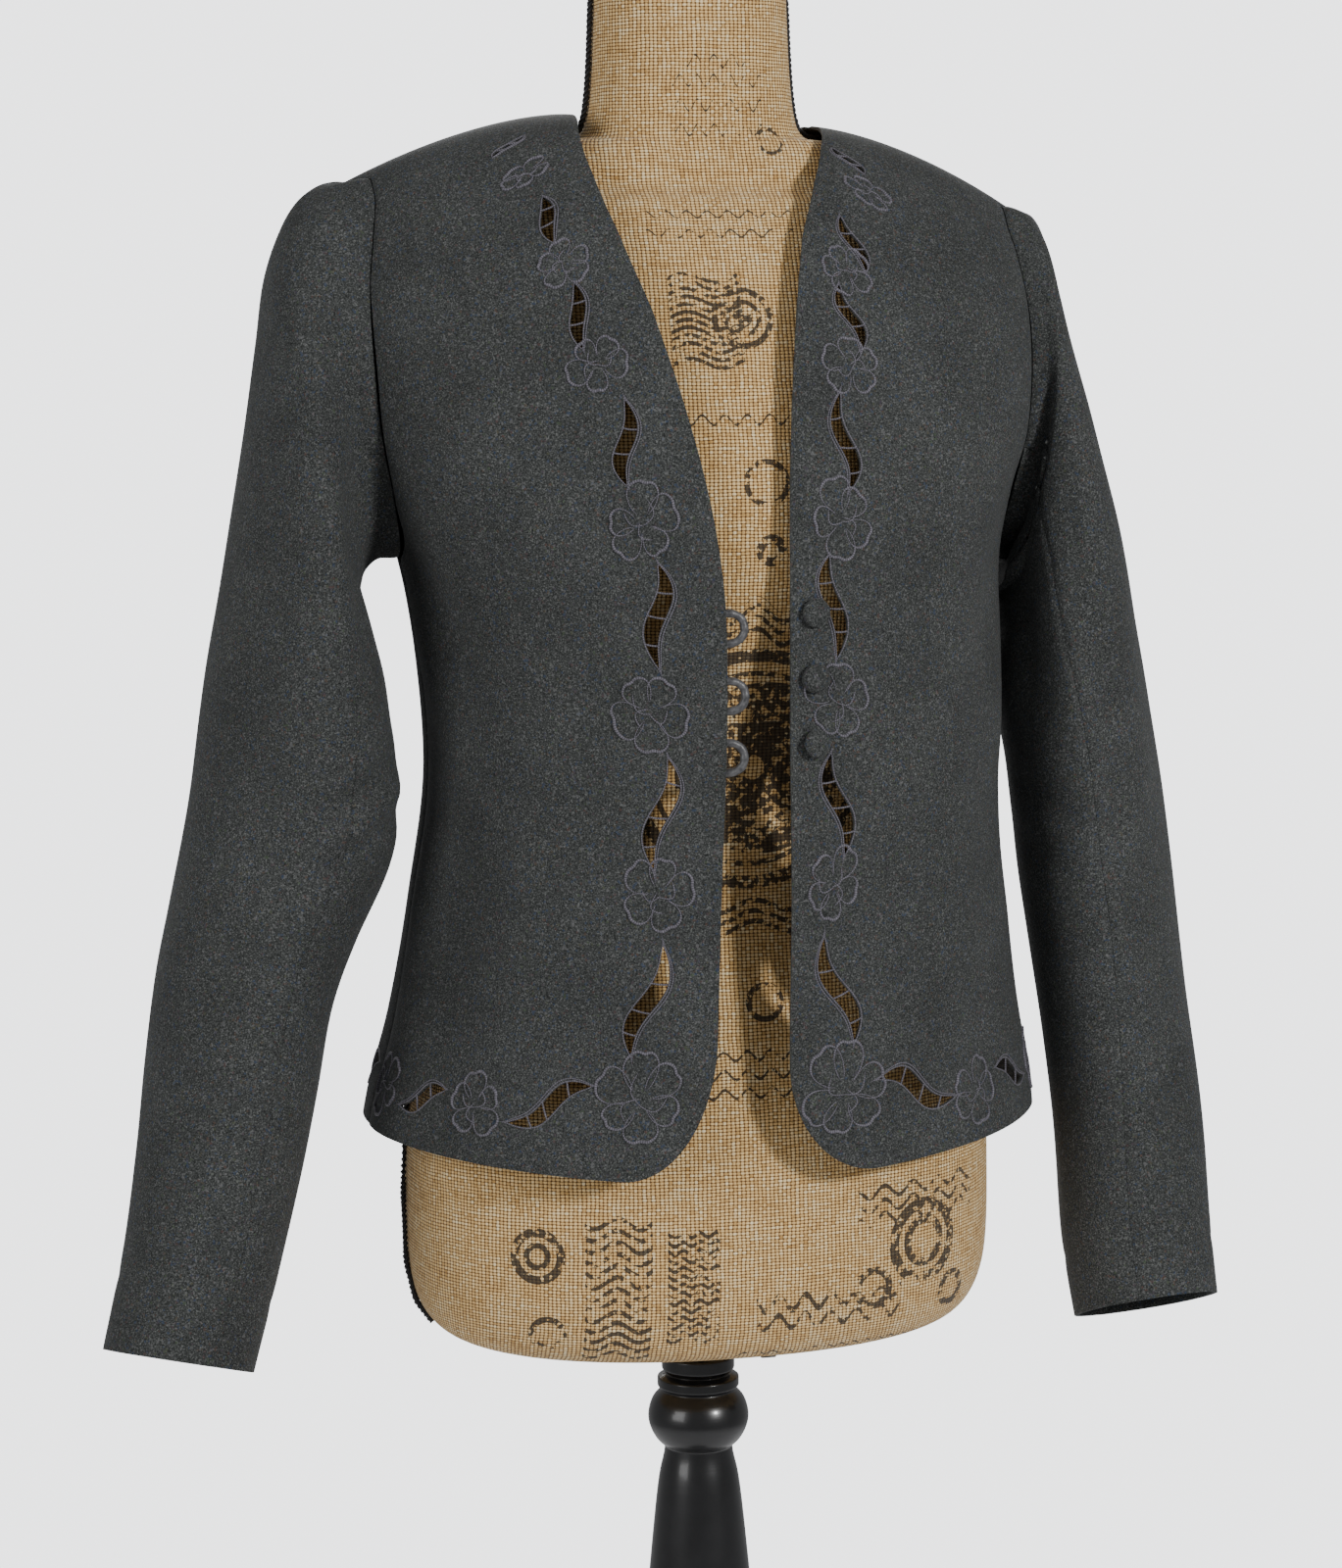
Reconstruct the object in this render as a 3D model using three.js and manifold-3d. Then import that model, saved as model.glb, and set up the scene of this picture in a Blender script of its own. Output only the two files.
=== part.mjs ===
// Collarless open-front wool jacket with a cutwork leaf border, on a limbless dress form.
// Millimetres, +Z up. The front is -Y and the wearer's left is +X. The origin is the middle
// of the stand's underside. Side -1 is the wearer's right half and side +1 the left half.

import * as THREE from 'three';
import { mergeVertices } from 'three/addons/utils/BufferGeometryUtils.js';
import Module from 'manifold-3d';

const wasm = await Module();
wasm.setup();

// ---------------------------------------------------------------- driving sizes
const CLOTH = 2;            // thickness of the wool with its backing
const SEAM = 0.3;           // gap between two pieces that are sewn together
const ROUNDNESS = 2.25;     // exponent of the torso's oval sections, 2 is an ellipse
const NECK_X = 67;          // shoulder seam starts here, beside the neck
const SHOULDER_RUN = 119;   // across distance from the neck end to the sleeve end of that seam
const SHOULDER_ROUNDING = 1.6;  // 1 is a straight shoulder seam, more rounds it
const SHOULDER_Z = 1342;    // height of the shoulder seam at the sleeve
const SHOULDER_SKEW = 0.043;  // slope from the right shoulder down to the left one
const UNDERARM_Z = 1149;
const ARMHOLE_FRONT = 50;   // how far the armhole scoops forward of the shoulder line
const ARMHOLE_BACK = 46;
const BACK_NECK = 58;       // depth of the back neckline behind the shoulder line
const SIDE_HEM_Z = 842;
const FRONT_HEM_DROP = 14;
const BACK_HEM_DROP = 6;
const SIDE_SEAM_FORWARD = 0.05;  // radians that the side seam swings forward at the hem
const CORNER_WIDTH = 50;    // rounded front corner, measured along the hem
const CORNER_HEIGHT = { '-1': 78, 1: 60 };

// Outer surface of the jacket's torso, hem to shoulder seam. drop: how much lower the level
// lies at the shoulder point than beside the neck. half, front, back: half width and the
// depths before and behind the shoulder line. shift: how far the level hangs to the left.
const TORSO = [
  { z: 815, drop: 0, half: 191, front: 143, back: 131, shift: 0 },
  { z: 850, drop: 0, half: 184, front: 141, back: 127, shift: 1 },
  { z: 900, drop: 0, half: 172, front: 139, back: 122, shift: 4 },
  { z: 970, drop: 0, half: 163, front: 137, back: 119, shift: 7 },
  { z: 1040, drop: 0, half: 158, front: 136, back: 118, shift: 9 },
  { z: 1100, drop: 0, half: 160, front: 136, back: 120, shift: 7 },
  { z: 1149, drop: 0, half: 166, front: 136, back: 122, shift: 3 },
  { z: 1185, drop: 1, half: 176, front: 134, back: 121, shift: 1 },
  { z: 1225, drop: 6, half: 187, front: 129, back: 117, shift: 0 },
  { z: 1270, drop: 13, half: 193, front: 118, back: 109, shift: -1 },
  { z: 1310, drop: 23, half: 194, front: 103, back: 98, shift: -2 },
  { z: 1342, drop: 32, half: 191, front: 84, back: 83, shift: -2 },
  { z: 1362, drop: 38, half: 189, front: 64, back: 66, shift: -2 },
  { z: 1374, drop: 40, half: 187.5, front: 46, back: 48, shift: -2 },
  { z: 1380.8, drop: 41, half: 186.5, front: 25, back: 26, shift: -2 },
  { z: 1383, drop: 41, half: 186, front: 0.15, back: 0.15, shift: -2 },
];
const TOP = TORSO.length - 1;

// Distance of each front's edge from the middle plane, by height.
const FRONT_EDGE = [
  { z: 815, right: 22, left: 19 },
  { z: 900, right: 20, left: 19 },
  { z: 980, right: 17, left: 20.5 },
  { z: 1060, right: 13.5, left: 20.5 },
  { z: 1130, right: 14, left: 20.5 },
  { z: 1180, right: 20.5, left: 21 },
  { z: 1230, right: 32, left: 24 },
  { z: 1280, right: 46, left: 30 },
  { z: 1320, right: 60, left: 38 },
  { z: 1350, right: 69, left: 50 },
  { z: 1370, right: 71, left: 60 },
  { z: 1383, right: 67, left: 67 },
];

// Leaves cut through the cloth between the embroidered flowers. angle, level: the middle's
// polar angle in degrees and level height. long, wide: the opening's size. tilt: degrees
// from upright, its lower tip swung towards the side seam. bend: size and way of its S curve.
const RIGHT_LEAVES = [
  { angle: 66, level: 1369, long: 20, wide: 5.5, tilt: 6, bend: 0.06 },
  { angle: 47.6, level: 1328, long: 33, wide: 6.5, tilt: -26, bend: 0.03 },
  { angle: 37.6, level: 1278, long: 35, wide: 7, tilt: -12, bend: 0.04 },
  { angle: 27, level: 1213, long: 43, wide: 8, tilt: -1, bend: 0.07 },
  { angle: 22.1, level: 1127, long: 54, wide: 9, tilt: 5, bend: 0.07 },
  { angle: 23.3, level: 1024, long: 58, wide: 9.5, tilt: 7, bend: 0.07 },
  { angle: 25, level: 924, long: 60, wide: 9.5, tilt: 14, bend: 0.07 },
  { angle: 42.5, level: 870, long: 48, wide: 9, tilt: 64, bend: -0.08 },
  { angle: 69.1, level: 866, long: 34, wide: 8.5, tilt: 66, bend: -0.07 },
];
const LEFT_LEAVES = [
  { angle: 51.5, level: 1363, long: 24, wide: 5.5, tilt: -4, bend: 0.05 },
  { angle: 35.4, level: 1317, long: 33, wide: 6.5, tilt: 2, bend: 0.06 },
  { angle: 28.5, level: 1278, long: 36, wide: 7, tilt: 5, bend: 0.08 },
  { angle: 22.3, level: 1212, long: 50, wide: 8, tilt: 0, bend: 0.08 },
  { angle: 16.3, level: 1130, long: 53, wide: 9, tilt: 0, bend: 0.06 },
  { angle: 15.7, level: 1026, long: 54, wide: 9, tilt: 9, bend: 0.07 },
  { angle: 16.7, level: 926, long: 60, wide: 9.5, tilt: 18, bend: 0.07 },
  { angle: 35.6, level: 870, long: 54, wide: 10, tilt: 73, bend: -0.09 },
  { angle: 64, level: 866, long: 38, wide: 8.5, tilt: 72, bend: -0.07 },
];
const BACK_LEAVES = [
  { angle: 97, level: 866, long: 42, wide: 9, tilt: 68, bend: -0.08 },
  { angle: 127, level: 866, long: 46, wide: 9, tilt: 68, bend: -0.08 },
  { angle: 161, level: 866, long: 48, wide: 9, tilt: 68, bend: -0.08 },
];
const LEAF_STEPS = 6;       // corners along each side of a leaf
const LEAF_FULLNESS = 0.75; // exponent of its outline, less is blunter

// Sleeve rings from just outside the armhole to the cuff. x, y, z: the ring's middle, x
// measured outward. narrow, broad: half sizes across and front to back. lean: degrees that
// the ring is tipped up at its outer side; pitch: at its front. turn: degrees that its broad
// axis swings inward at the front. cap: share of the oval over the armhole's own outline.
const RIGHT_SLEEVE = [
  { x: 188, y: 0, z: 1249, narrow: 98.5, broad: 52, lean: 81.5, pitch: 0, turn: 0, cap: 0.35 },
  { x: 198, y: 0, z: 1240, narrow: 98.5, broad: 56, lean: 80, pitch: 0, turn: 0, cap: 0.75 },
  { x: 204, y: 0, z: 1229, narrow: 95, broad: 62, lean: 78, pitch: 0, turn: 0, cap: 1 },
  { x: 208, y: -1, z: 1213, narrow: 89, broad: 67, lean: 75, pitch: 0, turn: 0, cap: 1 },
  { x: 209, y: -2, z: 1191, narrow: 79, broad: 71, lean: 70, pitch: 0, turn: 1, cap: 1 },
  { x: 210.5, y: -3, z: 1164, narrow: 69, broad: 74, lean: 62, pitch: 0, turn: 2, cap: 1 },
  { x: 212, y: -3, z: 1134, narrow: 61, broad: 76, lean: 51, pitch: 0, turn: 5, cap: 1 },
  { x: 214.5, y: -2, z: 1100, narrow: 54, broad: 76, lean: 37, pitch: 0, turn: 9, cap: 1 },
  { x: 217.5, y: 0, z: 1064, narrow: 51.5, broad: 74, lean: 22, pitch: 0, turn: 14, cap: 1 },
  { x: 220, y: 3, z: 1026, narrow: 52.5, broad: 71, lean: 12, pitch: 1, turn: 20, cap: 1 },
  { x: 226.5, y: 3, z: 992, narrow: 53, broad: 69, lean: 11, pitch: 4, turn: 20, cap: 1 },
  { x: 240.5, y: -4, z: 954, narrow: 48.5, broad: 66, lean: 14, pitch: 8, turn: 17, cap: 1 },
  { x: 252.5, y: -13, z: 918, narrow: 46.5, broad: 62, lean: 15, pitch: 12, turn: 14, cap: 1 },
  { x: 262, y: -26, z: 874, narrow: 46, broad: 57, lean: 15, pitch: 14, turn: 14, cap: 1 },
  { x: 271, y: -39, z: 829, narrow: 44, broad: 52, lean: 15, pitch: 15, turn: 14, cap: 1 },
  { x: 282.5, y: -55, z: 782, narrow: 41.5, broad: 46, lean: 15, pitch: 15, turn: 10, cap: 1 },
  { x: 297, y: -71, z: 734, narrow: 40, broad: 41, lean: 13, pitch: 14, turn: 2, cap: 1 },
];
const LEFT_SLEEVE = [
  { x: 181, y: 0, z: 1237, narrow: 95, broad: 52, lean: 84.5, pitch: 0, turn: 0, cap: 0.35 },
  { x: 185, y: 0, z: 1227.5, narrow: 94.5, broad: 56, lean: 83, pitch: 0, turn: 0, cap: 0.75 },
  { x: 187, y: 0, z: 1213, narrow: 91, broad: 61, lean: 81, pitch: 0, turn: 0, cap: 1 },
  { x: 190, y: -1, z: 1195.5, narrow: 83.5, broad: 66, lean: 78, pitch: 0, turn: 0, cap: 1 },
  { x: 194.5, y: -2, z: 1174, narrow: 74.5, broad: 70, lean: 73, pitch: 0, turn: 1, cap: 1 },
  { x: 199, y: -3, z: 1148, narrow: 63.5, broad: 73, lean: 64, pitch: 0, turn: 2, cap: 1 },
  { x: 205.5, y: -3, z: 1119, narrow: 55, broad: 74, lean: 52, pitch: 0, turn: 6, cap: 1 },
  { x: 213.5, y: -2, z: 1086, narrow: 47.5, broad: 75, lean: 38, pitch: 0, turn: 12, cap: 1 },
  { x: 221.5, y: 0, z: 1052, narrow: 44, broad: 75, lean: 24, pitch: 0, turn: 18, cap: 1 },
  { x: 229, y: 3, z: 1012, narrow: 43, broad: 74, lean: 12, pitch: 1, turn: 25, cap: 1 },
  { x: 234, y: 3, z: 974, narrow: 42.5, broad: 72, lean: 7, pitch: 4, turn: 28, cap: 1 },
  { x: 238, y: -3, z: 934, narrow: 41.5, broad: 68, lean: 5, pitch: 9, turn: 30, cap: 1 },
  { x: 240, y: -14, z: 894, narrow: 41.5, broad: 62, lean: 3, pitch: 13, turn: 30, cap: 1 },
  { x: 241, y: -27, z: 852, narrow: 42, broad: 56, lean: 1, pitch: 16, turn: 29, cap: 1 },
  { x: 240.5, y: -41, z: 812, narrow: 42, broad: 50, lean: 0, pitch: 18, turn: 25, cap: 1 },
  { x: 239.5, y: -56, z: 770, narrow: 41.5, broad: 45, lean: 2, pitch: 20, turn: 12, cap: 1 },
  { x: 241, y: -70, z: 728, narrow: 40, broad: 41, lean: 4, pitch: 21, turn: 0, cap: 1 },
];

const SEAM_TO_SLEEVE = 0.36;  // between the armhole's edge and the sleeve's
const HEAD_STEP = 9;          // how far out each of the first rings starts from the armhole
const ARMHOLE_STEPS = 11;     // rows from the underarm to the shoulder, on the front and back
const SLEEVE_COLUMNS = 2 * ARMHOLE_STEPS;
const FRONT_SEAM_COLUMN = 7;  // sleeve seams, counted in columns from the shoulder forward
const BACK_SEAM_COLUMN = 15;

// Dress form: oval levels from its underside to the top of its neck. The levels of its
// shoulders follow the jacket's shoulder seam, FORM_UNDER_SEAM lower.
const FORM_UNDER_SEAM = 8;
const FORM_HIPS_AND_CHEST = [
  { z: 717, half: 112, front: 72, back: 70 },
  { z: 719, half: 132, front: 89, back: 86 },
  { z: 726, half: 148, front: 102, back: 98 },
  { z: 740, half: 158, front: 110, back: 106 },
  { z: 762, half: 163, front: 114, back: 111 },
  { z: 800, half: 164, front: 115, back: 113 },
  { z: 845, half: 162, front: 113, back: 112 },
  { z: 900, half: 151, front: 106, back: 105 },
  { z: 960, half: 134, front: 97, back: 94 },
  { z: 1010, half: 126, front: 95, back: 89 },
  { z: 1065, half: 131, front: 104, back: 93 },
  { z: 1120, half: 141, front: 117, back: 102 },
  { z: 1165, half: 147, front: 123, back: 108 },
  { z: 1210, half: 150, front: 119, back: 109 },
  { z: 1255, half: 157, front: 108, back: 104 },
  { z: 1295, half: 166, front: 95, back: 93 },
  { z: 1318, half: 169, front: 84, back: 82 },
  { z: 1332, half: 166, front: 75, back: 73 },
  { z: 1338.5, half: 162, front: 70, back: 68 },
];
const FORM_SHOULDERS = [
  { half: 156, front: 64, back: 62 },
  { half: 144, front: 58.5, back: 56.5 },
  { half: 122, front: 56, back: 54 },
  { half: 97, front: 52, back: 48 },
  { half: 78, front: 50, back: 46 },
  { half: 64.5, front: 49.5, back: 45.5 },
];
const FORM_NECK = [
  { z: 1377, half: 58.7, front: 49, back: 46 },
  { z: 1385, half: 56.2, front: 48.5, back: 46 },
  { z: 1395, half: 54.8, front: 48, back: 46.5 },
  { z: 1412, half: 53.5, front: 47.5, back: 47 },
  { z: 1435, half: 52.5, front: 47, back: 47 },
  { z: 1458, half: 51.5, front: 46, back: 46 },
  { z: 1468, half: 48, front: 43, back: 43 },
  { z: 1474, half: 40, front: 36, back: 36 },
  { z: 1477, half: 24, front: 22, back: 22 },
];
const FORM_COLUMNS = 24;
const PIPING_RADIUS = 1.75;
const PIPING_OUT = PIPING_RADIUS + 0.9;   // its middle line off the form's side seam
const PIPING_STEPS = 66;
const PIPING_CORNERS = 5;
const PIPING_PER_LEVEL = [0.12, 0.5, 0.88];  // its route's points between two levels of the form

// Turned stand under the form: radius and height of each step of its profile.
const COLUMN_PROFILE = [
  { r: 0, z: 24.3 }, { r: 44, z: 24.3 }, { r: 44, z: 32 }, { r: 30, z: 40 }, { r: 24, z: 52 },
  { r: 27, z: 66 }, { r: 33, z: 80 }, { r: 27, z: 94 }, { r: 20, z: 104 }, { r: 18, z: 130 },
  { r: 20, z: 200 }, { r: 26, z: 290 }, { r: 33, z: 380 }, { r: 36, z: 440 }, { r: 34.5, z: 500 },
  { r: 29.5, z: 560 }, { r: 23.5, z: 620 }, { r: 19.5, z: 641 }, { r: 19, z: 645 },
  { r: 24, z: 650 }, { r: 27.5, z: 657 }, { r: 28.3, z: 664 }, { r: 26, z: 672 }, { r: 21, z: 678 },
  { r: 23, z: 680 }, { r: 23, z: 685 }, { r: 18, z: 687 }, { r: 20.5, z: 690 }, { r: 20.5, z: 697 },
  { r: 14, z: 700 }, { r: 13, z: 716.7 }, { r: 0, z: 716.7 },
];
const BASE_PROFILE = [
  { r: 0, z: 0 }, { r: 146, z: 0 }, { r: 150, z: 4 }, { r: 150, z: 13 }, { r: 145, z: 18 },
  { r: 118, z: 20 }, { r: 104, z: 24 }, { r: 0, z: 24 },
];
const TURNED_SEGMENTS = 20;
const BASE_SEGMENTS = 28;
const PEG = { x: 37, y: -12, width: 11.5, height: 20 };

// Buttons on the left front and loops on the right front, by height.
const BUTTON_HEIGHTS = [1125.5, 1091.5, 1057.5];
const BUTTON = { radius: 7.6, height: 5, inset: 13, segments: 12 };
const LOOP_HEIGHTS = [1118, 1083, 1051];
const LOOP = { radius: 2.2, corners: 6, steps: 14 };

// ---------------------------------------------------------------- tables and vectors
// Smooth value of a table's column at a fractional row number.
function column(table, name, row) {
  const last = table.length - 1;
  const i = Math.min(Math.max(Math.floor(row), 0), last - 1);
  const f = row - i;
  const [a, b, c, d] = [-1, 0, 1, 2].map((k) => table[Math.min(Math.max(i + k, 0), last)][name]);
  return b + 0.5 * f * (c - a + f * (2 * a - 5 * b + 4 * c - d + f * (3 * (b - c) + d - a)));
}

// Row number at which a rising function of the row reaches a value.
function rowWhere(rising, value, low, high) {
  for (let i = 0; i < 40; i += 1) {
    const middle = (low + high) / 2;
    if (rising(middle) < value) low = middle;
    else high = middle;
  }
  return (low + high) / 2;
}

// Reach of an oval from its middle in the direction of a polar angle, 0 being the front.
function ovalReach(half, depth, angle) {
  const across = Math.abs(Math.sin(angle)) / half;
  const along = Math.abs(Math.cos(angle)) / depth;
  return (across ** ROUNDNESS + along ** ROUNDNESS) ** (-1 / ROUNDNESS);
}

const mix = THREE.MathUtils.lerp;
const ramp = (from, to, count) => Array.from({ length: count + 1 }, (_, i) => mix(from, to, i / count));

// Unit normal of a surface(a, b), on the side that outward points to.
const NORMAL_STEP = 0.004;   // radians and rows
function normalOf(surface, a, b, outward) {
  const da = surface(a + NORMAL_STEP, b).sub(surface(a - NORMAL_STEP, b));
  const db = surface(a, b + NORMAL_STEP).sub(surface(a, b - NORMAL_STEP));
  const normal = da.cross(db).normalize();
  return normal.dot(outward) < 0 ? normal.negate() : normal;
}

// ---------------------------------------------------------------- the jacket's torso
// Share of a level's drop at a distance from the middle. The shoulder rounds downward.
const seamFall = (x) => (Math.max(0, x - NECK_X) / SHOULDER_RUN) ** SHOULDER_ROUNDING;

// Point of the torso at a polar angle (0 front, PI back) and a fractional level row.
function torso(side, angle, row) {
  const t = Math.min(row, TOP);
  const half = column(TORSO, 'half', t);
  const depth = column(TORSO, Math.cos(angle) > 0 ? 'front' : 'back', t);
  const reach = ovalReach(half, depth, angle);
  const x = reach * Math.sin(angle);
  const fall = seamFall(Math.abs(x));
  const acrossBody = column(TORSO, 'shift', t) + side * x;
  const skew = (SHOULDER_SKEW * acrossBody) / TORSO[TOP].drop;
  const z = column(TORSO, 'z', t) - column(TORSO, 'drop', t) * (fall + skew);
  return new THREE.Vector3(acrossBody, -reach * Math.cos(angle), z);
}

// Polar angle at which a level is a given distance from its own middle.
function angleAcross(distance, row, facing) {
  const half = column(TORSO, 'half', row);
  const depth = column(TORSO, facing, row);
  const share = Math.min(Math.abs(distance) / half, 1) ** ROUNDNESS;
  const y = depth * (1 - share) ** (1 / ROUNDNESS);
  return facing === 'front' ? Math.atan2(distance, y) : Math.PI - Math.atan2(distance, y);
}

const rowAtHeight = (z) => rowWhere((row) => column(TORSO, 'z', row), z, 0, TOP);
const UNDERARM_ROW = rowAtHeight(UNDERARM_Z);

// Outward direction at a torso point. On the shoulder seam it has no front-to-back part.
const SHOULDER_ROWS = 2.5;   // the last rows, where the cloth turns over the shoulder
function torsoNormal(side, angle, row) {
  const point = torso(side, angle, row);
  const upward = row > TOP - SHOULDER_ROWS ? TORSO[0].half : CLOTH;
  const outward = new THREE.Vector3(point.x - column(TORSO, 'shift', row), point.y, upward);
  if (row < TOP - NORMAL_STEP) return normalOf((a, r) => torso(side, a, r), angle, row, outward);
  const beside = torso(side, angle - NORMAL_STEP * Math.sign(Math.cos(angle)), TOP).sub(point);
  return new THREE.Vector3(-beside.z, 0, beside.x).multiplyScalar(Math.sign(beside.x)).normalize();
}

// Where a front or the back ends at its side: the side seam, then the armhole.
function sideAngle(side, row, facing) {
  const seam = SEAM / 2 / column(TORSO, 'half', row);
  const gap = facing === 'front' ? -seam : seam;
  if (row <= UNDERARM_ROW) {
    return Math.PI / 2 - SIDE_SEAM_FORWARD * (1 - row / UNDERARM_ROW) + gap;
  }
  const height = column(TORSO, 'z', row) - column(TORSO, 'drop', row);
  const rise = Math.min((height - UNDERARM_Z) / (SHOULDER_Z - UNDERARM_Z), 1);
  const scoop = facing === 'front' ? ARMHOLE_FRONT : ARMHOLE_BACK;
  const y = scoop * Math.sqrt(Math.max(1 - (2 * rise - 1) ** 2, 0));
  const depth = column(TORSO, facing, row);
  const x = column(TORSO, 'half', row) * (1 - Math.min(y / depth, 1) ** ROUNDNESS) ** (1 / ROUNDNESS);
  const angle = Math.atan2(x, y);
  return (facing === 'front' ? angle : Math.PI - angle) + gap;
}

// Rows of the grid above the underarm, evenly spaced round the armhole. The sleeves use the
// same ones, so that sewn edges have their corners in the same places.
const heightAtArmhole = (row) => column(TORSO, 'z', row) - column(TORSO, 'drop', row);
const armholeRows = ramp(0, 1, ARMHOLE_STEPS).map((s) => {
  const rise = (1 - Math.cos(Math.PI * s)) / 2;
  return rowWhere(heightAtArmhole, mix(UNDERARM_Z, SHOULDER_Z, rise), UNDERARM_ROW, TOP);
});

// ---------------------------------------------------------------- walls of cloth
// Signed volume, to tell which way a closed mesh faces.
function signedVolume(geometry) {
  const p = geometry.attributes.position;
  const index = geometry.index;
  const [a, b, c] = [new THREE.Vector3(), new THREE.Vector3(), new THREE.Vector3()];
  let volume = 0;
  for (let i = 0; i < index.count; i += 3) {
    a.fromBufferAttribute(p, index.getX(i));
    b.fromBufferAttribute(p, index.getX(i + 1));
    c.fromBufferAttribute(p, index.getX(i + 2));
    volume += a.dot(b.cross(c)) / 6;
  }
  return volume;
}

// The same closed mesh with its faces turned to look out.
function facingOut(geometry) {
  if (signedVolume(geometry) < 0) {
    const corners = [...geometry.index.array];
    geometry.setIndex(corners.map((_, i) => corners[i % 3 === 0 ? i : i + (i % 3 === 1 ? 1 : -1)]));
  }
  return geometry;
}

function solidFrom(points, triangles) {
  const geometry = new THREE.BufferGeometry().setFromPoints(points);
  return facingOut(geometry.setIndex(triangles.flat()));
}

function toManifold(geometry) {
  const bare = geometry.clone();
  bare.deleteAttribute('normal');
  bare.deleteAttribute('uv');
  const merged = facingOut(mergeVertices(bare, 1e-3));
  return new wasm.Manifold(new wasm.Mesh({
    numProp: 3,
    vertProperties: merged.attributes.position.array,
    triVerts: new Uint32Array(merged.index.array),
  }));
}

function fromManifold(solid) {
  const mesh = solid.getMesh();
  const geometry = new THREE.BufferGeometry();
  geometry.setAttribute('position', new THREE.BufferAttribute(mesh.vertProperties, 3));
  return geometry.setIndex([...mesh.triVerts]);
}

// A wall of cloth from a grid of { point, normal }, rows by columns, CLOTH thick inward.
function clothWall(grid) {
  const rows = grid.length;
  const columns = grid[0].length;
  const outer = grid.flat().map((cell) => cell.point.clone());
  const inner = grid.flat().map((cell) => cell.point.clone().addScaledVector(cell.normal, -CLOTH));
  const at = (i, j) => i * columns + j;
  const under = (i, j) => rows * columns + at(i, j);
  const triangles = [];
  const quad = (a, b, c, d) => triangles.push([a, b, c], [a, c, d]);
  for (let i = 0; i < rows - 1; i += 1) {
    for (let j = 0; j < columns - 1; j += 1) {
      quad(at(i, j), at(i, j + 1), at(i + 1, j + 1), at(i + 1, j));
      quad(under(i, j), under(i + 1, j), under(i + 1, j + 1), under(i, j + 1));
    }
    quad(at(i, 0), at(i + 1, 0), under(i + 1, 0), under(i, 0));
    const end = columns - 1;
    quad(at(i, end), under(i, end), under(i + 1, end), at(i + 1, end));
  }
  for (let j = 0; j < columns - 1; j += 1) {
    quad(at(0, j), under(0, j), under(0, j + 1), at(0, j + 1));
    const top = rows - 1;
    quad(at(top, j), at(top, j + 1), under(top, j + 1), under(top, j));
  }
  return solidFrom([...outer, ...inner], triangles);
}

// ---------------------------------------------------------------- fronts and back
function frontEdgeAngle(side, row) {
  const z = column(TORSO, 'z', row);
  const edgeRow = rowWhere((r) => column(FRONT_EDGE, 'z', r), z, 0, FRONT_EDGE.length - 1);
  const x = column(FRONT_EDGE, side < 0 ? 'right' : 'left', edgeRow);
  return angleAcross(x - side * column(TORSO, 'shift', row), row, 'front');
}

const hemHeight = (angle) => {
  const drop = Math.cos(angle) > 0 ? FRONT_HEM_DROP : BACK_HEM_DROP;
  return SIDE_HEM_Z - drop * Math.cos(angle) ** 2;
};

// Place on the torso a short way from a start: u towards the side or middle of the back, v
// up along the cloth and lift out of it.
function clothPoint(side, start, u, v, lift) {
  const row = rowAtHeight(start.level);
  const angle = THREE.MathUtils.degToRad(start.angle);
  const step = NORMAL_STEP;
  const perAngle = torso(side, angle + step, row).distanceTo(torso(side, angle - step, row));
  const perRow = torso(side, angle, row + step).distanceTo(torso(side, angle, row - step));
  const there = [angle + (u * 2 * step) / perAngle, row + (v * 2 * step) / perRow];
  return torso(side, ...there).addScaledVector(torsoNormal(side, ...there), lift);
}

// A leaf's outline, S-curved about its middle line and pointed at both tips.
function leafOutline({ long, wide, tilt, bend }) {
  const lean = THREE.MathUtils.degToRad(tilt);
  const corner = (t, edge) => {
    const along = (t - 0.5) * long;
    const across = -bend * long * Math.sin(2 * Math.PI * t)
      + edge * (wide / 2) * Math.sin(Math.PI * t) ** LEAF_FULLNESS;
    return new THREE.Vector2(
      along * Math.sin(lean) + across * Math.cos(lean),
      -along * Math.cos(lean) + across * Math.sin(lean),
    );
  };
  const down = ramp(0, 1, LEAF_STEPS).map((t) => corner(t, 1));
  const up = ramp(1, 0, LEAF_STEPS).slice(1, -1).map((t) => corner(t, -1));
  return new THREE.Shape([...down, ...up]);
}

// Cuts a table's leaves through a wall, square to the cloth.
function cutLeaves(wall, side, leaves) {
  const cut = leaves.reduce((solid, leaf) => {
    const depth = 3 * CLOTH;
    const prism = new THREE.ExtrudeGeometry(leafOutline(leaf), { depth, bevelEnabled: false });
    const place = prism.attributes.position;
    for (let i = 0; i < place.count; i += 1) {
      const lift = place.getZ(i) - 2 * CLOTH;
      const point = clothPoint(side, leaf, place.getX(i), place.getY(i), lift);
      place.setXYZ(i, point.x, point.y, point.z);
    }
    return solid.subtract(toManifold(prism));
  }, toManifold(wall));
  return fromManifold(cut);
}

const FRONT_COLUMNS = [0, 0.012, 0.03, 0.055, 0.09, 0.14, 0.21, 0.3, 0.41, 0.53, 0.65, 0.77, 0.89, 1];
const LOWER_STEPS = 9;

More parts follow.
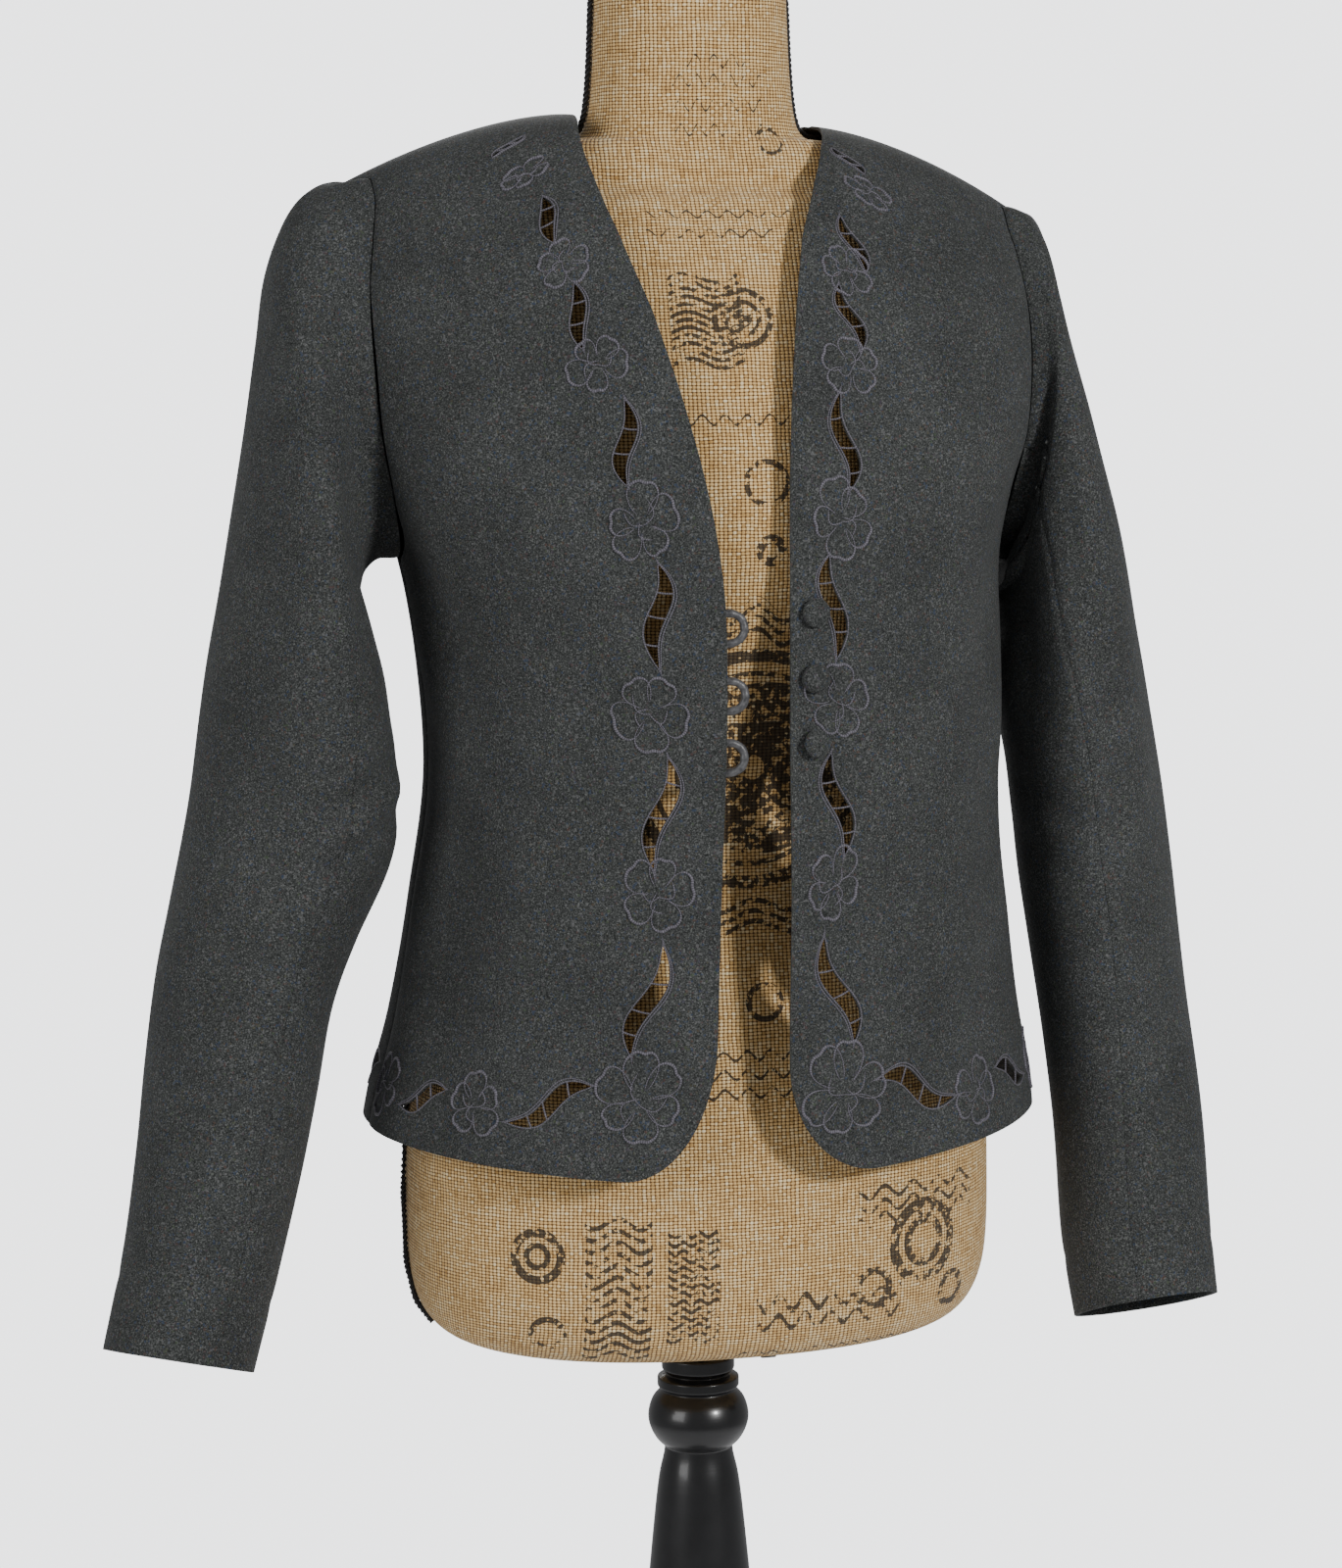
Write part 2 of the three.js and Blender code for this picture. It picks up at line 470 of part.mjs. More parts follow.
function frontPanel(side) {
  const angleAt = (u, row) => mix(frontEdgeAngle(side, row), sideAngle(side, row, 'front'), u);
  const hemRow = rowAtHeight(SIDE_HEM_Z - FRONT_HEM_DROP);
  const edge = torso(side, angleAt(0, hemRow), hemRow);
  const bottoms = FRONT_COLUMNS.map((u) => {
    const angle = angleAt(u, hemRow);
    const inset = Math.min(torso(side, angle, hemRow).distanceTo(edge) / CORNER_WIDTH, 1);
    const lift = CORNER_HEIGHT[side] * (1 - Math.sqrt(1 - (1 - inset) ** 2));
    return rowAtHeight(hemHeight(angle) + lift);
  });
  const grid = [];
  for (let i = 0; i < LOWER_STEPS; i += 1) {
    grid.push(FRONT_COLUMNS.map((u, j) => {
      const row = mix(bottoms[j], UNDERARM_ROW, i / LOWER_STEPS);
      return { angle: angleAt(u, row), row };
    }));
  }
  for (const row of armholeRows) grid.push(FRONT_COLUMNS.map((u) => ({ angle: angleAt(u, row), row })));
  return clothWall(grid.map((line) => line.map(({ angle, row }) => ({
    point: torso(side, angle, row), normal: torsoNormal(side, angle, row),
  }))));
}

// Half of the back from the side seam to the middle, as { angle, row } lines.
const BACK_SIDE_COLUMNS = [0, 0.15, 0.32, 0.5, 0.66, 0.82, 1];
const HEM_ROW = rowAtHeight(SIDE_HEM_Z);
const BACK_NECK_TURNS = [90, 78, 64, 48, 32, 16, 0].map(THREE.MathUtils.degToRad);

function backHalf(side) {
  const neckAngle = (row, x) => angleAcross(x - side * column(TORSO, 'shift', row), row, 'back');
  const lines = [];
  const sideLine = (u) => (row) => mix(sideAngle(side, row, 'back'), neckAngle(row, NECK_X), u);
  const neckLine = (turn) => (row) => neckAngle(row, NECK_X * Math.sin(turn));
  const makeLine = (angleAt, topRow) => {
    const bottom = rowAtHeight(hemHeight(angleAt(HEM_ROW)));
    const line = ramp(bottom, UNDERARM_ROW, LOWER_STEPS).slice(0, -1);
    for (const row of armholeRows) {
      line.push(mix(UNDERARM_ROW, topRow, (row - UNDERARM_ROW) / (TOP - UNDERARM_ROW)));
    }
    lines.push(line.map((row) => ({ angle: angleAt(row), row })));
  };
  BACK_SIDE_COLUMNS.forEach((u) => makeLine(sideLine(u), TOP));
  BACK_NECK_TURNS.slice(1).forEach((turn) => {
    const depth = BACK_NECK * Math.cos(turn);
    const topRow = rowWhere((r) => -torso(side, neckLine(turn)(r), r).y, -depth, UNDERARM_ROW, TOP);
    makeLine(neckLine(turn), topRow);
  });
  return lines.map((line) => line.map(({ angle, row }) => ({
    point: torso(side, angle, row), normal: torsoNormal(side, angle, row),
  })));
}

function backPanel() {
  const right = backHalf(-1);
  const left = backHalf(1);
  return clothWall([...right, ...left.slice(0, -1).reverse()]);
}

// ---------------------------------------------------------------- sleeves
// Corners of an armhole, from the shoulder down its front and up its back, each with the
// torso's normal there and the way out of the seam.
function armhole(side) {
  const corner = (row, facing) => {
    const gap = SEAM / 2 / column(TORSO, 'half', row);
    const angle = sideAngle(side, row, facing) + (facing === 'front' ? gap : -gap);
    return { point: torso(side, angle, row), normal: torsoNormal(side, angle, row) };
  };
  const corners = [
    ...[...armholeRows].reverse().map((row) => corner(row, 'front')),
    ...armholeRows.slice(1, -1).map((row) => corner(row, 'back')),
  ];
  corners[0].point.y = 0;
  corners.forEach((cell, j) => {
    const next = corners[(j + 1) % SLEEVE_COLUMNS].point;
    const last = corners[(j + SLEEVE_COLUMNS - 1) % SLEEVE_COLUMNS].point;
    cell.out = next.clone().sub(last).cross(cell.normal).normalize();
    if (cell.out.x * side < 0) cell.out.negate();
  });
  return corners;
}

// A sleeve's surface: theta is 0 at its outer side, PI / 2 in front, PI at the inner side.
// Row 0 is the armhole and each row after it is a ring of the table.
function makeSleeve(side, table, corners) {
  const ring = (theta, row) => {
    const get = (name) => column(table, name, row - 1);
    const [lean, pitch, turn] = ['lean', 'pitch', 'turn'].map((n) => THREE.MathUtils.degToRad(get(n)));
    const outer = new THREE.Vector3(side * Math.cos(lean), 0, Math.sin(lean));
    const front = new THREE.Vector3(0, -Math.cos(pitch), Math.sin(pitch));
    const [narrow, broad] = [get('narrow'), get('broad')];
    const polar = Math.atan2(broad * Math.sin(theta), narrow * Math.cos(theta));
    const across = Math.cos(polar - turn) / narrow;
    const ahead = Math.sin(polar - turn) / broad;
    const reach = 1 / Math.hypot(across, ahead);
    return new THREE.Vector3(side * get('x'), get('y'), get('z'))
      .addScaledVector(outer, reach * Math.cos(polar))
      .addScaledVector(front, reach * Math.sin(polar));
  };
  const seam = (theta) => {
    const place = ((theta / (2 * Math.PI) + 1) % 1) * SLEEVE_COLUMNS;
    const j = Math.floor(place);
    const [a, b] = [corners[j], corners[(j + 1) % SLEEVE_COLUMNS]];
    return a.point.clone().lerp(b.point, place - j).addScaledVector(a.out, SEAM_TO_SLEEVE);
  };
  return (theta, row) => {
    const share = row < 1 ? table[0].cap * Math.max(row, 0) : Math.min(column(table, 'cap', row - 1), 1);
    const fromSeam = seam(theta);
    fromSeam.x += side * HEAD_STEP * row;
    return share < 1 ? fromSeam.lerp(ring(theta, Math.max(row, 1)), share) : ring(theta, row);
  };
}

// One of a sleeve's two pieces, between two of its columns counted round the armhole.
function sleevePiece(side, table, first, last) {
  const corners = armhole(side);
  const surface = makeSleeve(side, table, corners);
  const grid = ramp(0, table.length, table.length).map((row) => (
    ramp(first, last, last - first).map((place) => {
      const theta = (2 * Math.PI * place) / SLEEVE_COLUMNS;
      const [before, after] = [theta - NORMAL_STEP, theta + NORMAL_STEP];
      const speed = surface(after, row).distanceTo(surface(before, row)) / (after - before);
      const inset = (SEAM / 2 / speed) * (Number(place === first) - Number(place === last));
      const point = surface(theta + inset, row);
      if (row === 0) return { point, normal: corners[(place + SLEEVE_COLUMNS) % SLEEVE_COLUMNS].normal };
      const middle = surface(0, row).add(surface(Math.PI, row)).multiplyScalar(0.5);
      const outward = point.clone().sub(middle);
      return { point, normal: normalOf(surface, theta + inset, row, outward) };
    })
  ));
  return clothWall(grid);
}

// ---------------------------------------------------------------- dress form
const seamHeight = (x) => {
  const top = TORSO[TOP];
  return top.z - top.drop * seamFall(x) - SHOULDER_SKEW * x;
};
const FORM = [
  ...FORM_HIPS_AND_CHEST,
  ...FORM_SHOULDERS.map((row) => ({ ...row, z: seamHeight(row.half) - FORM_UNDER_SEAM })),
  ...FORM_NECK,
];

function formBody() {
  const points = [new THREE.Vector3(0, 0, FORM[0].z)];
  for (const { z, half, front, back } of FORM) {
    for (let j = 0; j < FORM_COLUMNS; j += 1) {
      const angle = (2 * Math.PI * j) / FORM_COLUMNS;
      const reach = ovalReach(half, Math.cos(angle) > 0 ? front : back, angle);
      points.push(new THREE.Vector3(reach * Math.sin(angle), -reach * Math.cos(angle), z));
    }
  }
  points.push(new THREE.Vector3(0, 0, FORM[FORM.length - 1].z + 0.5));
  const at = (i, j) => 1 + i * FORM_COLUMNS + (j % FORM_COLUMNS);
  const triangles = [];
  for (let j = 0; j < FORM_COLUMNS; j += 1) {
    triangles.push([0, at(0, j + 1), at(0, j)]);
    for (let i = 0; i < FORM.length - 1; i += 1) {
      triangles.push([at(i, j), at(i, j + 1), at(i + 1, j + 1)]);
      triangles.push([at(i, j), at(i + 1, j + 1), at(i + 1, j)]);
    }
    triangles.push([at(FORM.length - 1, j), at(FORM.length - 1, j + 1), points.length - 1]);
  }
  return solidFrom(points, triangles);
}

// Regular polygon as a shape, for the section of a cord.
function polygon(radius, corners) {
  return new THREE.Shape(ramp(0, 2 * Math.PI, corners).slice(0, -1).map((angle) => (
    new THREE.Vector2(radius * Math.cos(angle), radius * Math.sin(angle))
  )));
}

// Cord over the form's side seam, from its underside over the shoulder to the neck's top.
function piping(side) {
  const line = FORM.slice(2, -2).map((row) => new THREE.Vector3(side * row.half, 0, row.z));
  const path = [];
  line.slice(0, -1).forEach((start, i) => {
    const step = line[i + 1].clone().sub(start);
    const out = new THREE.Vector3(side * step.z, 0, -side * step.x).normalize();
    for (const share of PIPING_PER_LEVEL) {
      path.push(start.clone().addScaledVector(step, share).addScaledVector(out, PIPING_OUT));
    }
  });
  return new THREE.ExtrudeGeometry(polygon(PIPING_RADIUS, PIPING_CORNERS), {
    steps: PIPING_STEPS, bevelEnabled: false, extrudePath: new THREE.CatmullRomCurve3(path),
  });
}

// A turned piece from its profile, as a lathe about the upright axis.
function turned(profile, segments = TURNED_SEGMENTS) {
  const outline = profile.map(({ r, z }) => new THREE.Vector2(r, z));
  return new THREE.LatheGeometry(outline, segments).rotateX(Math.PI / 2);
}

// ---------------------------------------------------------------- buttons and loops
// Place on a front at a height and a distance in from its edge, with axes out of the cloth
// and along it towards the opening.
function frontPlace(side, height, inset) {
  const row = rowAtHeight(height);
  const edge = frontEdgeAngle(side, row);
  const angle = edge + inset / column(TORSO, 'front', row);
  const point = torso(side, angle, row);
  const out = torsoNormal(side, angle, row);
  const up = torso(side, angle, row + 0.05).sub(point).normalize();
  const toOpening = up.clone().cross(out).multiplyScalar(-side).normalize();
  return { point, out, up, toOpening };
}

const BUTTON_PROFILE = [
  { r: 0, z: 0 }, { r: 0.8, z: 0 }, { r: 0.97, z: 0.22 }, { r: 1, z: 0.42 }, { r: 0.9, z: 0.7 },
  { r: 0.62, z: 0.92 }, { r: 0.3, z: 1 }, { r: 0, z: 1.02 },
];

function button(height) {
  const { point, out } = frontPlace(1, height, BUTTON.inset);
  const profile = BUTTON_PROFILE.map(({ r, z }) => ({ r: r * BUTTON.radius, z: z * BUTTON.height }));
  const upright = new THREE.Quaternion().setFromUnitVectors(new THREE.Vector3(0, 0, 1), out);
  const seat = point.clone().addScaledVector(out, SEAM);
  return turned(profile, BUTTON.segments).applyQuaternion(upright).translate(seat.x, seat.y, seat.z);
}

// Half of a loop's centre line: along is towards the opening, up from the loop's middle.
const LOOP_LINE = [
  { along: -7, up: 7.4 }, { along: 0, up: 7.9 }, { along: 5.5, up: 7 }, { along: 9, up: 4 },
  { along: 9.9, up: 0 },
];

function loop(height) {
  const { point, out, up, toOpening } = frontPlace(-1, height, 0);
  const seat = point.clone().addScaledVector(out, -(CLOTH + SEAM + LOOP.radius));
  const place = (along, rise) => seat.clone().addScaledVector(toOpening, along).addScaledVector(up, rise);
  const path = [
    ...LOOP_LINE.map((p) => place(p.along, p.up)),
    ...LOOP_LINE.slice(0, -1).reverse().map((p) => place(p.along, -p.up)),
  ];
  return new THREE.ExtrudeGeometry(polygon(LOOP.radius, LOOP.corners), {
    steps: LOOP.steps, bevelEnabled: false, extrudePath: new THREE.CatmullRomCurve3(path),
  });
}

// ---------------------------------------------------------------- assembly
const WOOL = { color: '#3e3f42', roughness: 0.95, metalness: 0 };
const BURLAP = { color: '#b39a72', roughness: 0.95, metalness: 0 };
const BLACK_CORD = { color: '#17171a', roughness: 0.8, metalness: 0 };
const BLACK_LACQUER = { color: '#0c0c0e', roughness: 0.3, metalness: 0 };

const dressedForm = new THREE.Group();
function add(name, geometry, finish) {
  const mesh = new THREE.Mesh(geometry, new THREE.MeshStandardMaterial(finish));
  mesh.name = name;
  dressedForm.add(mesh);
}

add('front_right', cutLeaves(frontPanel(-1), -1, RIGHT_LEAVES), WOOL);
add('front_left', cutLeaves(frontPanel(1), 1, LEFT_LEAVES), WOOL);
add('back', cutLeaves(cutLeaves(backPanel(), -1, BACK_LEAVES), 1, BACK_LEAVES), WOOL);
const UPPER_COLUMNS = [BACK_SEAM_COLUMN - SLEEVE_COLUMNS, FRONT_SEAM_COLUMN];
const UNDER_COLUMNS = [FRONT_SEAM_COLUMN, BACK_SEAM_COLUMN];
add('sleeve_upper_right', sleevePiece(-1, RIGHT_SLEEVE, ...UPPER_COLUMNS), WOOL);
add('sleeve_under_right', sleevePiece(-1, RIGHT_SLEEVE, ...UNDER_COLUMNS), WOOL);
add('sleeve_upper_left', sleevePiece(1, LEFT_SLEEVE, ...UPPER_COLUMNS), WOOL);
add('sleeve_under_left', sleevePiece(1, LEFT_SLEEVE, ...UNDER_COLUMNS), WOOL);
BUTTON_HEIGHTS.forEach((height, i) => add(`button_${i + 1}`, button(height), WOOL));
LOOP_HEIGHTS.forEach((height, i) => add(`button_loop_${i + 1}`, loop(height), WOOL));
add('form_body', formBody(), BURLAP);
add('form_piping_right', piping(-1), BLACK_CORD);
add('form_piping_left', piping(1), BLACK_CORD);
add('stand_column', turned(COLUMN_PROFILE), BLACK_LACQUER);
add('stand_base', turned(BASE_PROFILE, BASE_SEGMENTS), BLACK_LACQUER);
add('form_peg', new THREE.BoxGeometry(PEG.width, PEG.width, PEG.height)
  .translate(PEG.x, PEG.y, FORM[0].z - SEAM - PEG.height / 2), BLACK_LACQUER);

export default dressedForm;
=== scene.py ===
# A limbless dress form on a turned wooden stand, wearing a collarless wool jacket with a cutwork
# border of flowers and leaves. Metres, +Z up: the front is -Y and the wearer's left is +X.
import math

import bmesh
import bpy
import numpy as np
from mathutils import Matrix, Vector
from mathutils.geometry import delaunay_2d_cdt


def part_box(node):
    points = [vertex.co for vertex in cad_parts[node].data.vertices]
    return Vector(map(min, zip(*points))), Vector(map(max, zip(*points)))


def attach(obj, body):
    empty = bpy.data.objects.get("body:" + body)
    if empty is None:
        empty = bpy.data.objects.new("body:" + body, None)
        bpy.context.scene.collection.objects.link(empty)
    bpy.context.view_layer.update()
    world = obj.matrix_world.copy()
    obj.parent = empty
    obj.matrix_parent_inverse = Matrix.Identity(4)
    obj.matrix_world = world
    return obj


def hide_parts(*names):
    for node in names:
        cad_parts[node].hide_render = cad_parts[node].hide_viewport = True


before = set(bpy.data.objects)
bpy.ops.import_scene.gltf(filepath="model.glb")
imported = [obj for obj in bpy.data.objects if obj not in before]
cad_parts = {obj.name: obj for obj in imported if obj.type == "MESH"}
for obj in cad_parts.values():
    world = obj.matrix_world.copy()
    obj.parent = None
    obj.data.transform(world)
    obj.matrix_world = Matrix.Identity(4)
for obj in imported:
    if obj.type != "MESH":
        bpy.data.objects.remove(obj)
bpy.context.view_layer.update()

# ------------------------------------------------------------------ stand
# A turned column and base of beech under black satin lacquer. The column is screwed into the
# base, and a flat peg under the form locks it on the column's spigot.
MM = 0.001


def rows_of(columns, lines):
    """A table's lines as dicts under its columns' names."""
    return [dict(zip(columns.split(), line)) for line in lines]


COLUMN_PROFILE = rows_of("r z crisp", [
    # radius and height of each step, and whether the turner left a crisp edge there
    (0, 24.3, 1), (44, 24.3, 1), (44, 32, 1), (30, 40, 0), (24, 52, 0), (27, 66, 0), (33, 80, 0),
    (27, 94, 0), (20, 104, 1), (18, 130, 0), (20, 200, 0), (26, 290, 0), (33, 380, 0), (36, 440, 0),
    (34.5, 500, 0), (29.5, 560, 0), (23.5, 620, 0), (19.5, 641, 1), (19, 645, 1), (24, 650, 0),
    (27.5, 657, 0), (28.3, 664, 0), (26, 672, 0), (21, 678, 1), (23, 680, 1), (23, 685, 1),
    (18, 687, 1), (20.5, 690, 1), (20.5, 697, 1), (14, 700, 1), (13, 716.7, 1), (0, 716.7, 1),
])
BASE_PROFILE = rows_of("r z crisp", [
    (0, 0, 1), (146, 0, 1), (150, 4, 0), (150, 13, 0), (145, 18, 0), (118, 20, 1), (104, 24, 1),
    (0, 24, 1),
])
TURNED_SEGMENTS = 96


def linear(hex_colour):
    """An sRGB hex colour as linear RGBA."""
    parts = [int(hex_colour[i:i + 2], 16) / 255 for i in (1, 3, 5)]
    curved = [c / 12.92 if c <= 0.04045 else ((c + 0.055) / 1.055) ** 2.4 for c in parts]
    return (*curved, 1.0)


def add_node(tree, kind, *values, settings=None, stops=(), to=None, **inputs):
    """Adds a node with its settings, colour stops and links.

    A shader node's kind leaves out ShaderNode, and a maths node's ends in its operation. Values
    go in by number and inputs by name, with _ for a space or before a number. Each is a value, a
    socket, or a node for its first output, and the made node's first output may go on to a socket.
    """
    kind, _, operation = kind.partition(" ")
    made = tree.nodes.new(kind if kind.startswith(("Geometry", "NodeGroup")) else "ShaderNode" + kind)
    if operation:
        made.operation = operation
    for name, value in (settings or {}).items():
        setattr(made, name, value)
    while stops and len(made.color_ramp.elements) < len(stops):
        made.color_ramp.elements.new(1.0)
    for k, (place, colour) in enumerate(stops):
        made.color_ramp.elements[k].position = place
        made.color_ramp.elements[k].color = linear(colour)
    for name, value in [*enumerate(values), *inputs.items()]:
        if isinstance(name, str):
            name = int(name[1:]) if name[1:].isdigit() else name.replace("_", " ")
        if isinstance(value, bpy.types.Node):
            value = value.outputs[0]
        if isinstance(value, bpy.types.NodeSocket):
            tree.links.new(value, made.inputs[name])
        else:
            made.inputs[name].default_value = value
    if to:
        tree.links.new(made.outputs[0], to)
    return made


def new_finish(name, **constants):
    """A material with a Principled surface. Returns it, its node tree and its surface node."""
    material = bpy.data.materials.new(name)
    material.use_nodes = True
    tree = material.node_tree
    surface = tree.nodes["Principled BSDF"]
    for key, value in constants.items():
        surface.inputs[key.replace("_", " ")].default_value = value
    return material, tree, surface


def place_mesh(name, mesh, nodes=()):
    """An object of a finished mesh, riding on the part's one body in place of its CAD nodes."""
    piece = bpy.data.objects.new(name, mesh)
    bpy.context.scene.collection.objects.link(piece)
    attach(piece, "root")
    if nodes:
        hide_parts(*nodes)
    return piece


def new_piece(name, points_mm, faces, material, nodes):
    """A smooth mesh piece from points in millimetres."""
    mesh = bpy.data.meshes.new(name)
    mesh.from_pydata((np.asarray(points_mm, float) * MM).tolist(), [], faces)
    mesh.materials.append(material)
    mesh.shade_smooth()
    return place_mesh(name, mesh, nodes)


def ease_edges(piece, width_mm, sharper_than):
    """Rounds a piece's edges that are sharper than an angle in degrees."""
    ease = piece.modifiers.new("eased edges", "BEVEL")
    ease.width = width_mm * MM
    ease.segments = 2
    ease.limit_method = "ANGLE"
    ease.angle_limit = math.radians(sharper_than)


def ring_faces(rings, count):
    """Faces over rings of points, closed by a first point below them and a last one above."""
    def at(ring, k):
        return 1 + ring * count + k % count

    top = 1 + rings * count
    faces = [(0, at(0, j + 1), at(0, j)) for j in range(count)]
    faces += [
        (at(i, j), at(i, j + 1), at(i + 1, j + 1), at(i + 1, j))
        for i in range(rings - 1) for j in range(count)
    ]
    return faces + [(at(rings - 1, j), at(rings - 1, j + 1), top) for j in range(count)]


def turned_line(profile, steps=5):
    """The profile with its soft stretches rounded, as radius and height in millimetres."""
    line = []
    last = len(profile) - 1
    for i in range(last):
        a, b = profile[i], profile[i + 1]
        before = profile[i - 1] if not a["crisp"] and i > 0 else None
        after = profile[i + 2] if not b["crisp"] and i + 2 <= last else None
        start, end = np.array([a["r"], a["z"]]), np.array([b["r"], b["z"]])
        lead = (end - np.array([before["r"], before["z"]])) / 2 if before else end - start
        leave = (np.array([after["r"], after["z"]]) - start) / 2 if after else end - start
        for t in np.linspace(0, 1, steps, endpoint=False):
            h = [2 * t**3 - 3 * t**2 + 1, t**3 - 2 * t**2 + t, -2 * t**3 + 3 * t**2, t**3 - t**2]
            line.append(h[0] * start + h[1] * lead + h[2] * end + h[3] * leave)
    line.append(np.array([profile[-1]["r"], profile[-1]["z"]], float))
    return line


def turn_on_lathe(name, profile, material, node):
    """A turned piece about the upright axis, with its crisp edges eased."""
    line = turned_line(profile)[1:-1]
    count = TURNED_SEGMENTS
    points = [(0, 0, profile[0]["z"])]
    for radius, z in line:
        for j in range(count):
            angle = 2 * math.pi * j / count
            points.append((radius * math.sin(angle), -radius * math.cos(angle), z))
    points.append((0, 0, profile[-1]["z"]))
    piece = new_piece(name, points, ring_faces(len(line), count), material, [node])
    ease_edges(piece, 0.5, sharper_than=35)


# Black satin lacquer over turned beech: near black, softly mirroring, with faint turning rings,
# uneven sheen where it was rubbed and a little dust.
LACQUER, tree, surface = new_finish(
    "satin_black_lacquer_on_turned_beech", IOR=1.5, Coat_Weight=0.35, Coat_Roughness=0.12
)
place = add_node(tree, "TexCoord").outputs["Object"]
rings = add_node(tree, "Mapping", Vector=place, Scale=(8, 8, 900)).outputs["Vector"]
turning = add_node(tree, "TexNoise", Vector=rings, Scale=1.0, Detail=3.0).outputs["Fac"]
rubbing = add_node(tree, "TexNoise", Vector=place, Scale=35.0, Detail=5.0).outputs["Fac"]
add_node(
    tree, "ValToRGB", Fac=rubbing, stops=((0.35, "#070708"), (0.75, "#141416")),
    to=surface.inputs["Base Color"],
)
add_node(tree, "MapRange", Value=rubbing, To_Min=0.22, To_Max=0.42, to=surface.inputs["Roughness"])
add_node(tree, "Bump", Height=turning, Strength=0.08, Distance=0.0004, to=surface.inputs["Normal"])

turn_on_lathe("turned_base", BASE_PROFILE, LACQUER, "stand_base")
turn_on_lathe("turned_column", COLUMN_PROFILE, LACQUER, "stand_column")


# The locking peg: a square whittled pin that narrows downward and has its corners taken off.
PEG_TAPER = 0.8         # its lower end's width, as a share of the upper end's
PEG_CORNER = 1.3 * MM


def carve_peg():
    """The peg, fitted to the box of its CAD node."""
    low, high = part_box("form_peg")
    middle = [(a + b) / 2 for a, b in zip(low, high)]
    half = (high[0] - low[0]) / 2
    body = bmesh.new()
    bmesh.ops.create_cube(body, size=1)
    for corner in body.verts:
        narrow = PEG_TAPER if corner.co.z < 0 else 1.0
        corner.co.x = middle[0] + corner.co.x * 2 * half * narrow
        corner.co.y = middle[1] + corner.co.y * 2 * half * narrow
        corner.co.z = middle[2] + corner.co.z * (high[2] - low[2])
    bmesh.ops.bevel(body, geom=body.edges[:], offset=PEG_CORNER, segments=3, profile=0.6, affect="EDGES")
    mesh = bpy.data.meshes.new("locking_peg")
    body.to_mesh(mesh)
    body.free()
    mesh.materials.append(LACQUER)
    mesh.shade_smooth()
    place_mesh("locking_peg", mesh, ["form_peg"])


carve_peg()

# ------------------------------------------------------------------ dress form
# A hard limbless torso covered in printed burlap: a coarse plain weave of jute, glued and
# pulled smooth, its edges turned under at the neck and the base.
FORM_UNDER_SEAM = 8
NECK_X = 67
SHOULDER_RUN = 119
SHOULDER_ROUNDING = 1.6
SHOULDER_SKEW = 0.043
SHOULDER_TOP = {"z": 1383, "drop": 41}
ROUNDNESS = 2.25
FORM_HIPS_AND_CHEST = rows_of("z half front back", [
    (717, 112, 72, 70), (719, 132, 89, 86), (726, 148, 102, 98), (740, 158, 110, 106),
    (762, 163, 114, 111), (800, 164, 115, 113), (845, 162, 113, 112), (900, 151, 106, 105),
    (960, 134, 97, 94), (1010, 126, 95, 89), (1065, 131, 104, 93), (1120, 141, 117, 102),
    (1165, 147, 123, 108), (1210, 150, 119, 109), (1255, 157, 108, 104), (1295, 166, 95, 93),
    (1318, 169, 84, 82), (1332, 166, 75, 73), (1338.5, 162, 70, 68),
])
FORM_SHOULDERS = rows_of("half front back", [
    (156, 64, 62), (144, 58.5, 56.5), (122, 56, 54), (97, 52, 48), (78, 50, 46), (64.5, 49.5, 45.5),
])
FORM_NECK = rows_of("z half front back", [
    (1377, 58.7, 49, 46), (1385, 56.2, 48.5, 46), (1395, 54.8, 48, 46.5), (1412, 53.5, 47.5, 47),
    (1435, 52.5, 47, 47), (1458, 51.5, 46, 46), (1468, 48, 43, 43), (1474, 40, 36, 36),
    (1477, 24, 22, 22),
])
FORM_COLUMNS = 168
FORM_STEPS = 5          # rings between two levels of the table
FORM_HEM = 60           # burlap turned under the base and over the neck, mm on the threads map
NECK_HEM = 20


def column(rows, name, row):
    """Smooth values of a table's column at fractional row numbers."""
    values = np.array([line[name] for line in rows], float)
    last = len(values) - 1
    row = np.asarray(row, float)
    i = np.clip(np.floor(row).astype(int), 0, last - 1)
    f = row - i
    a, b, c, d = (values[np.clip(i + k, 0, last)] for k in (-1, 0, 1, 2))
    return b + 0.5 * f * (c - a + f * (2 * a - 5 * b + 4 * c - d + f * (3 * (b - c) + d - a)))


def oval_reach(half, depth, angle):
    """How far an oval reaches from its middle at a polar angle, 0 being the front."""
    across = np.abs(np.sin(angle)) / half
    along = np.abs(np.cos(angle)) / depth
    return (across**ROUNDNESS + along**ROUNDNESS) ** (-1 / ROUNDNESS)


def seam_fall(x):
    """Share of a level's drop at a distance from the middle."""
    return (np.maximum(0, x - NECK_X) / SHOULDER_RUN) ** SHOULDER_ROUNDING


def form_levels():
    """All levels of the form, its shoulders lying just under the jacket's shoulder seam."""
    shoulders = []
    for level in FORM_SHOULDERS:
        seam = SHOULDER_TOP["z"] - SHOULDER_TOP["drop"] * seam_fall(level["half"])
        z = seam - SHOULDER_SKEW * level["half"] - FORM_UNDER_SEAM
        shoulders.append({**level, "z": float(z)})
    return FORM_HIPS_AND_CHEST + shoulders + FORM_NECK


FORM = form_levels()


def form_point(angle, row):
    """Points of the form's skin in millimetres at polar angles and fractional levels."""
    depth = np.where(np.cos(angle) > 0, column(FORM, "front", row), column(FORM, "back", row))
    reach = oval_reach(column(FORM, "half", row), depth, angle)
    x, y = reach * np.sin(angle), -reach * np.cos(angle)
    return np.stack([x, y, column(FORM, "z", row) + 0 * x], axis=-1)


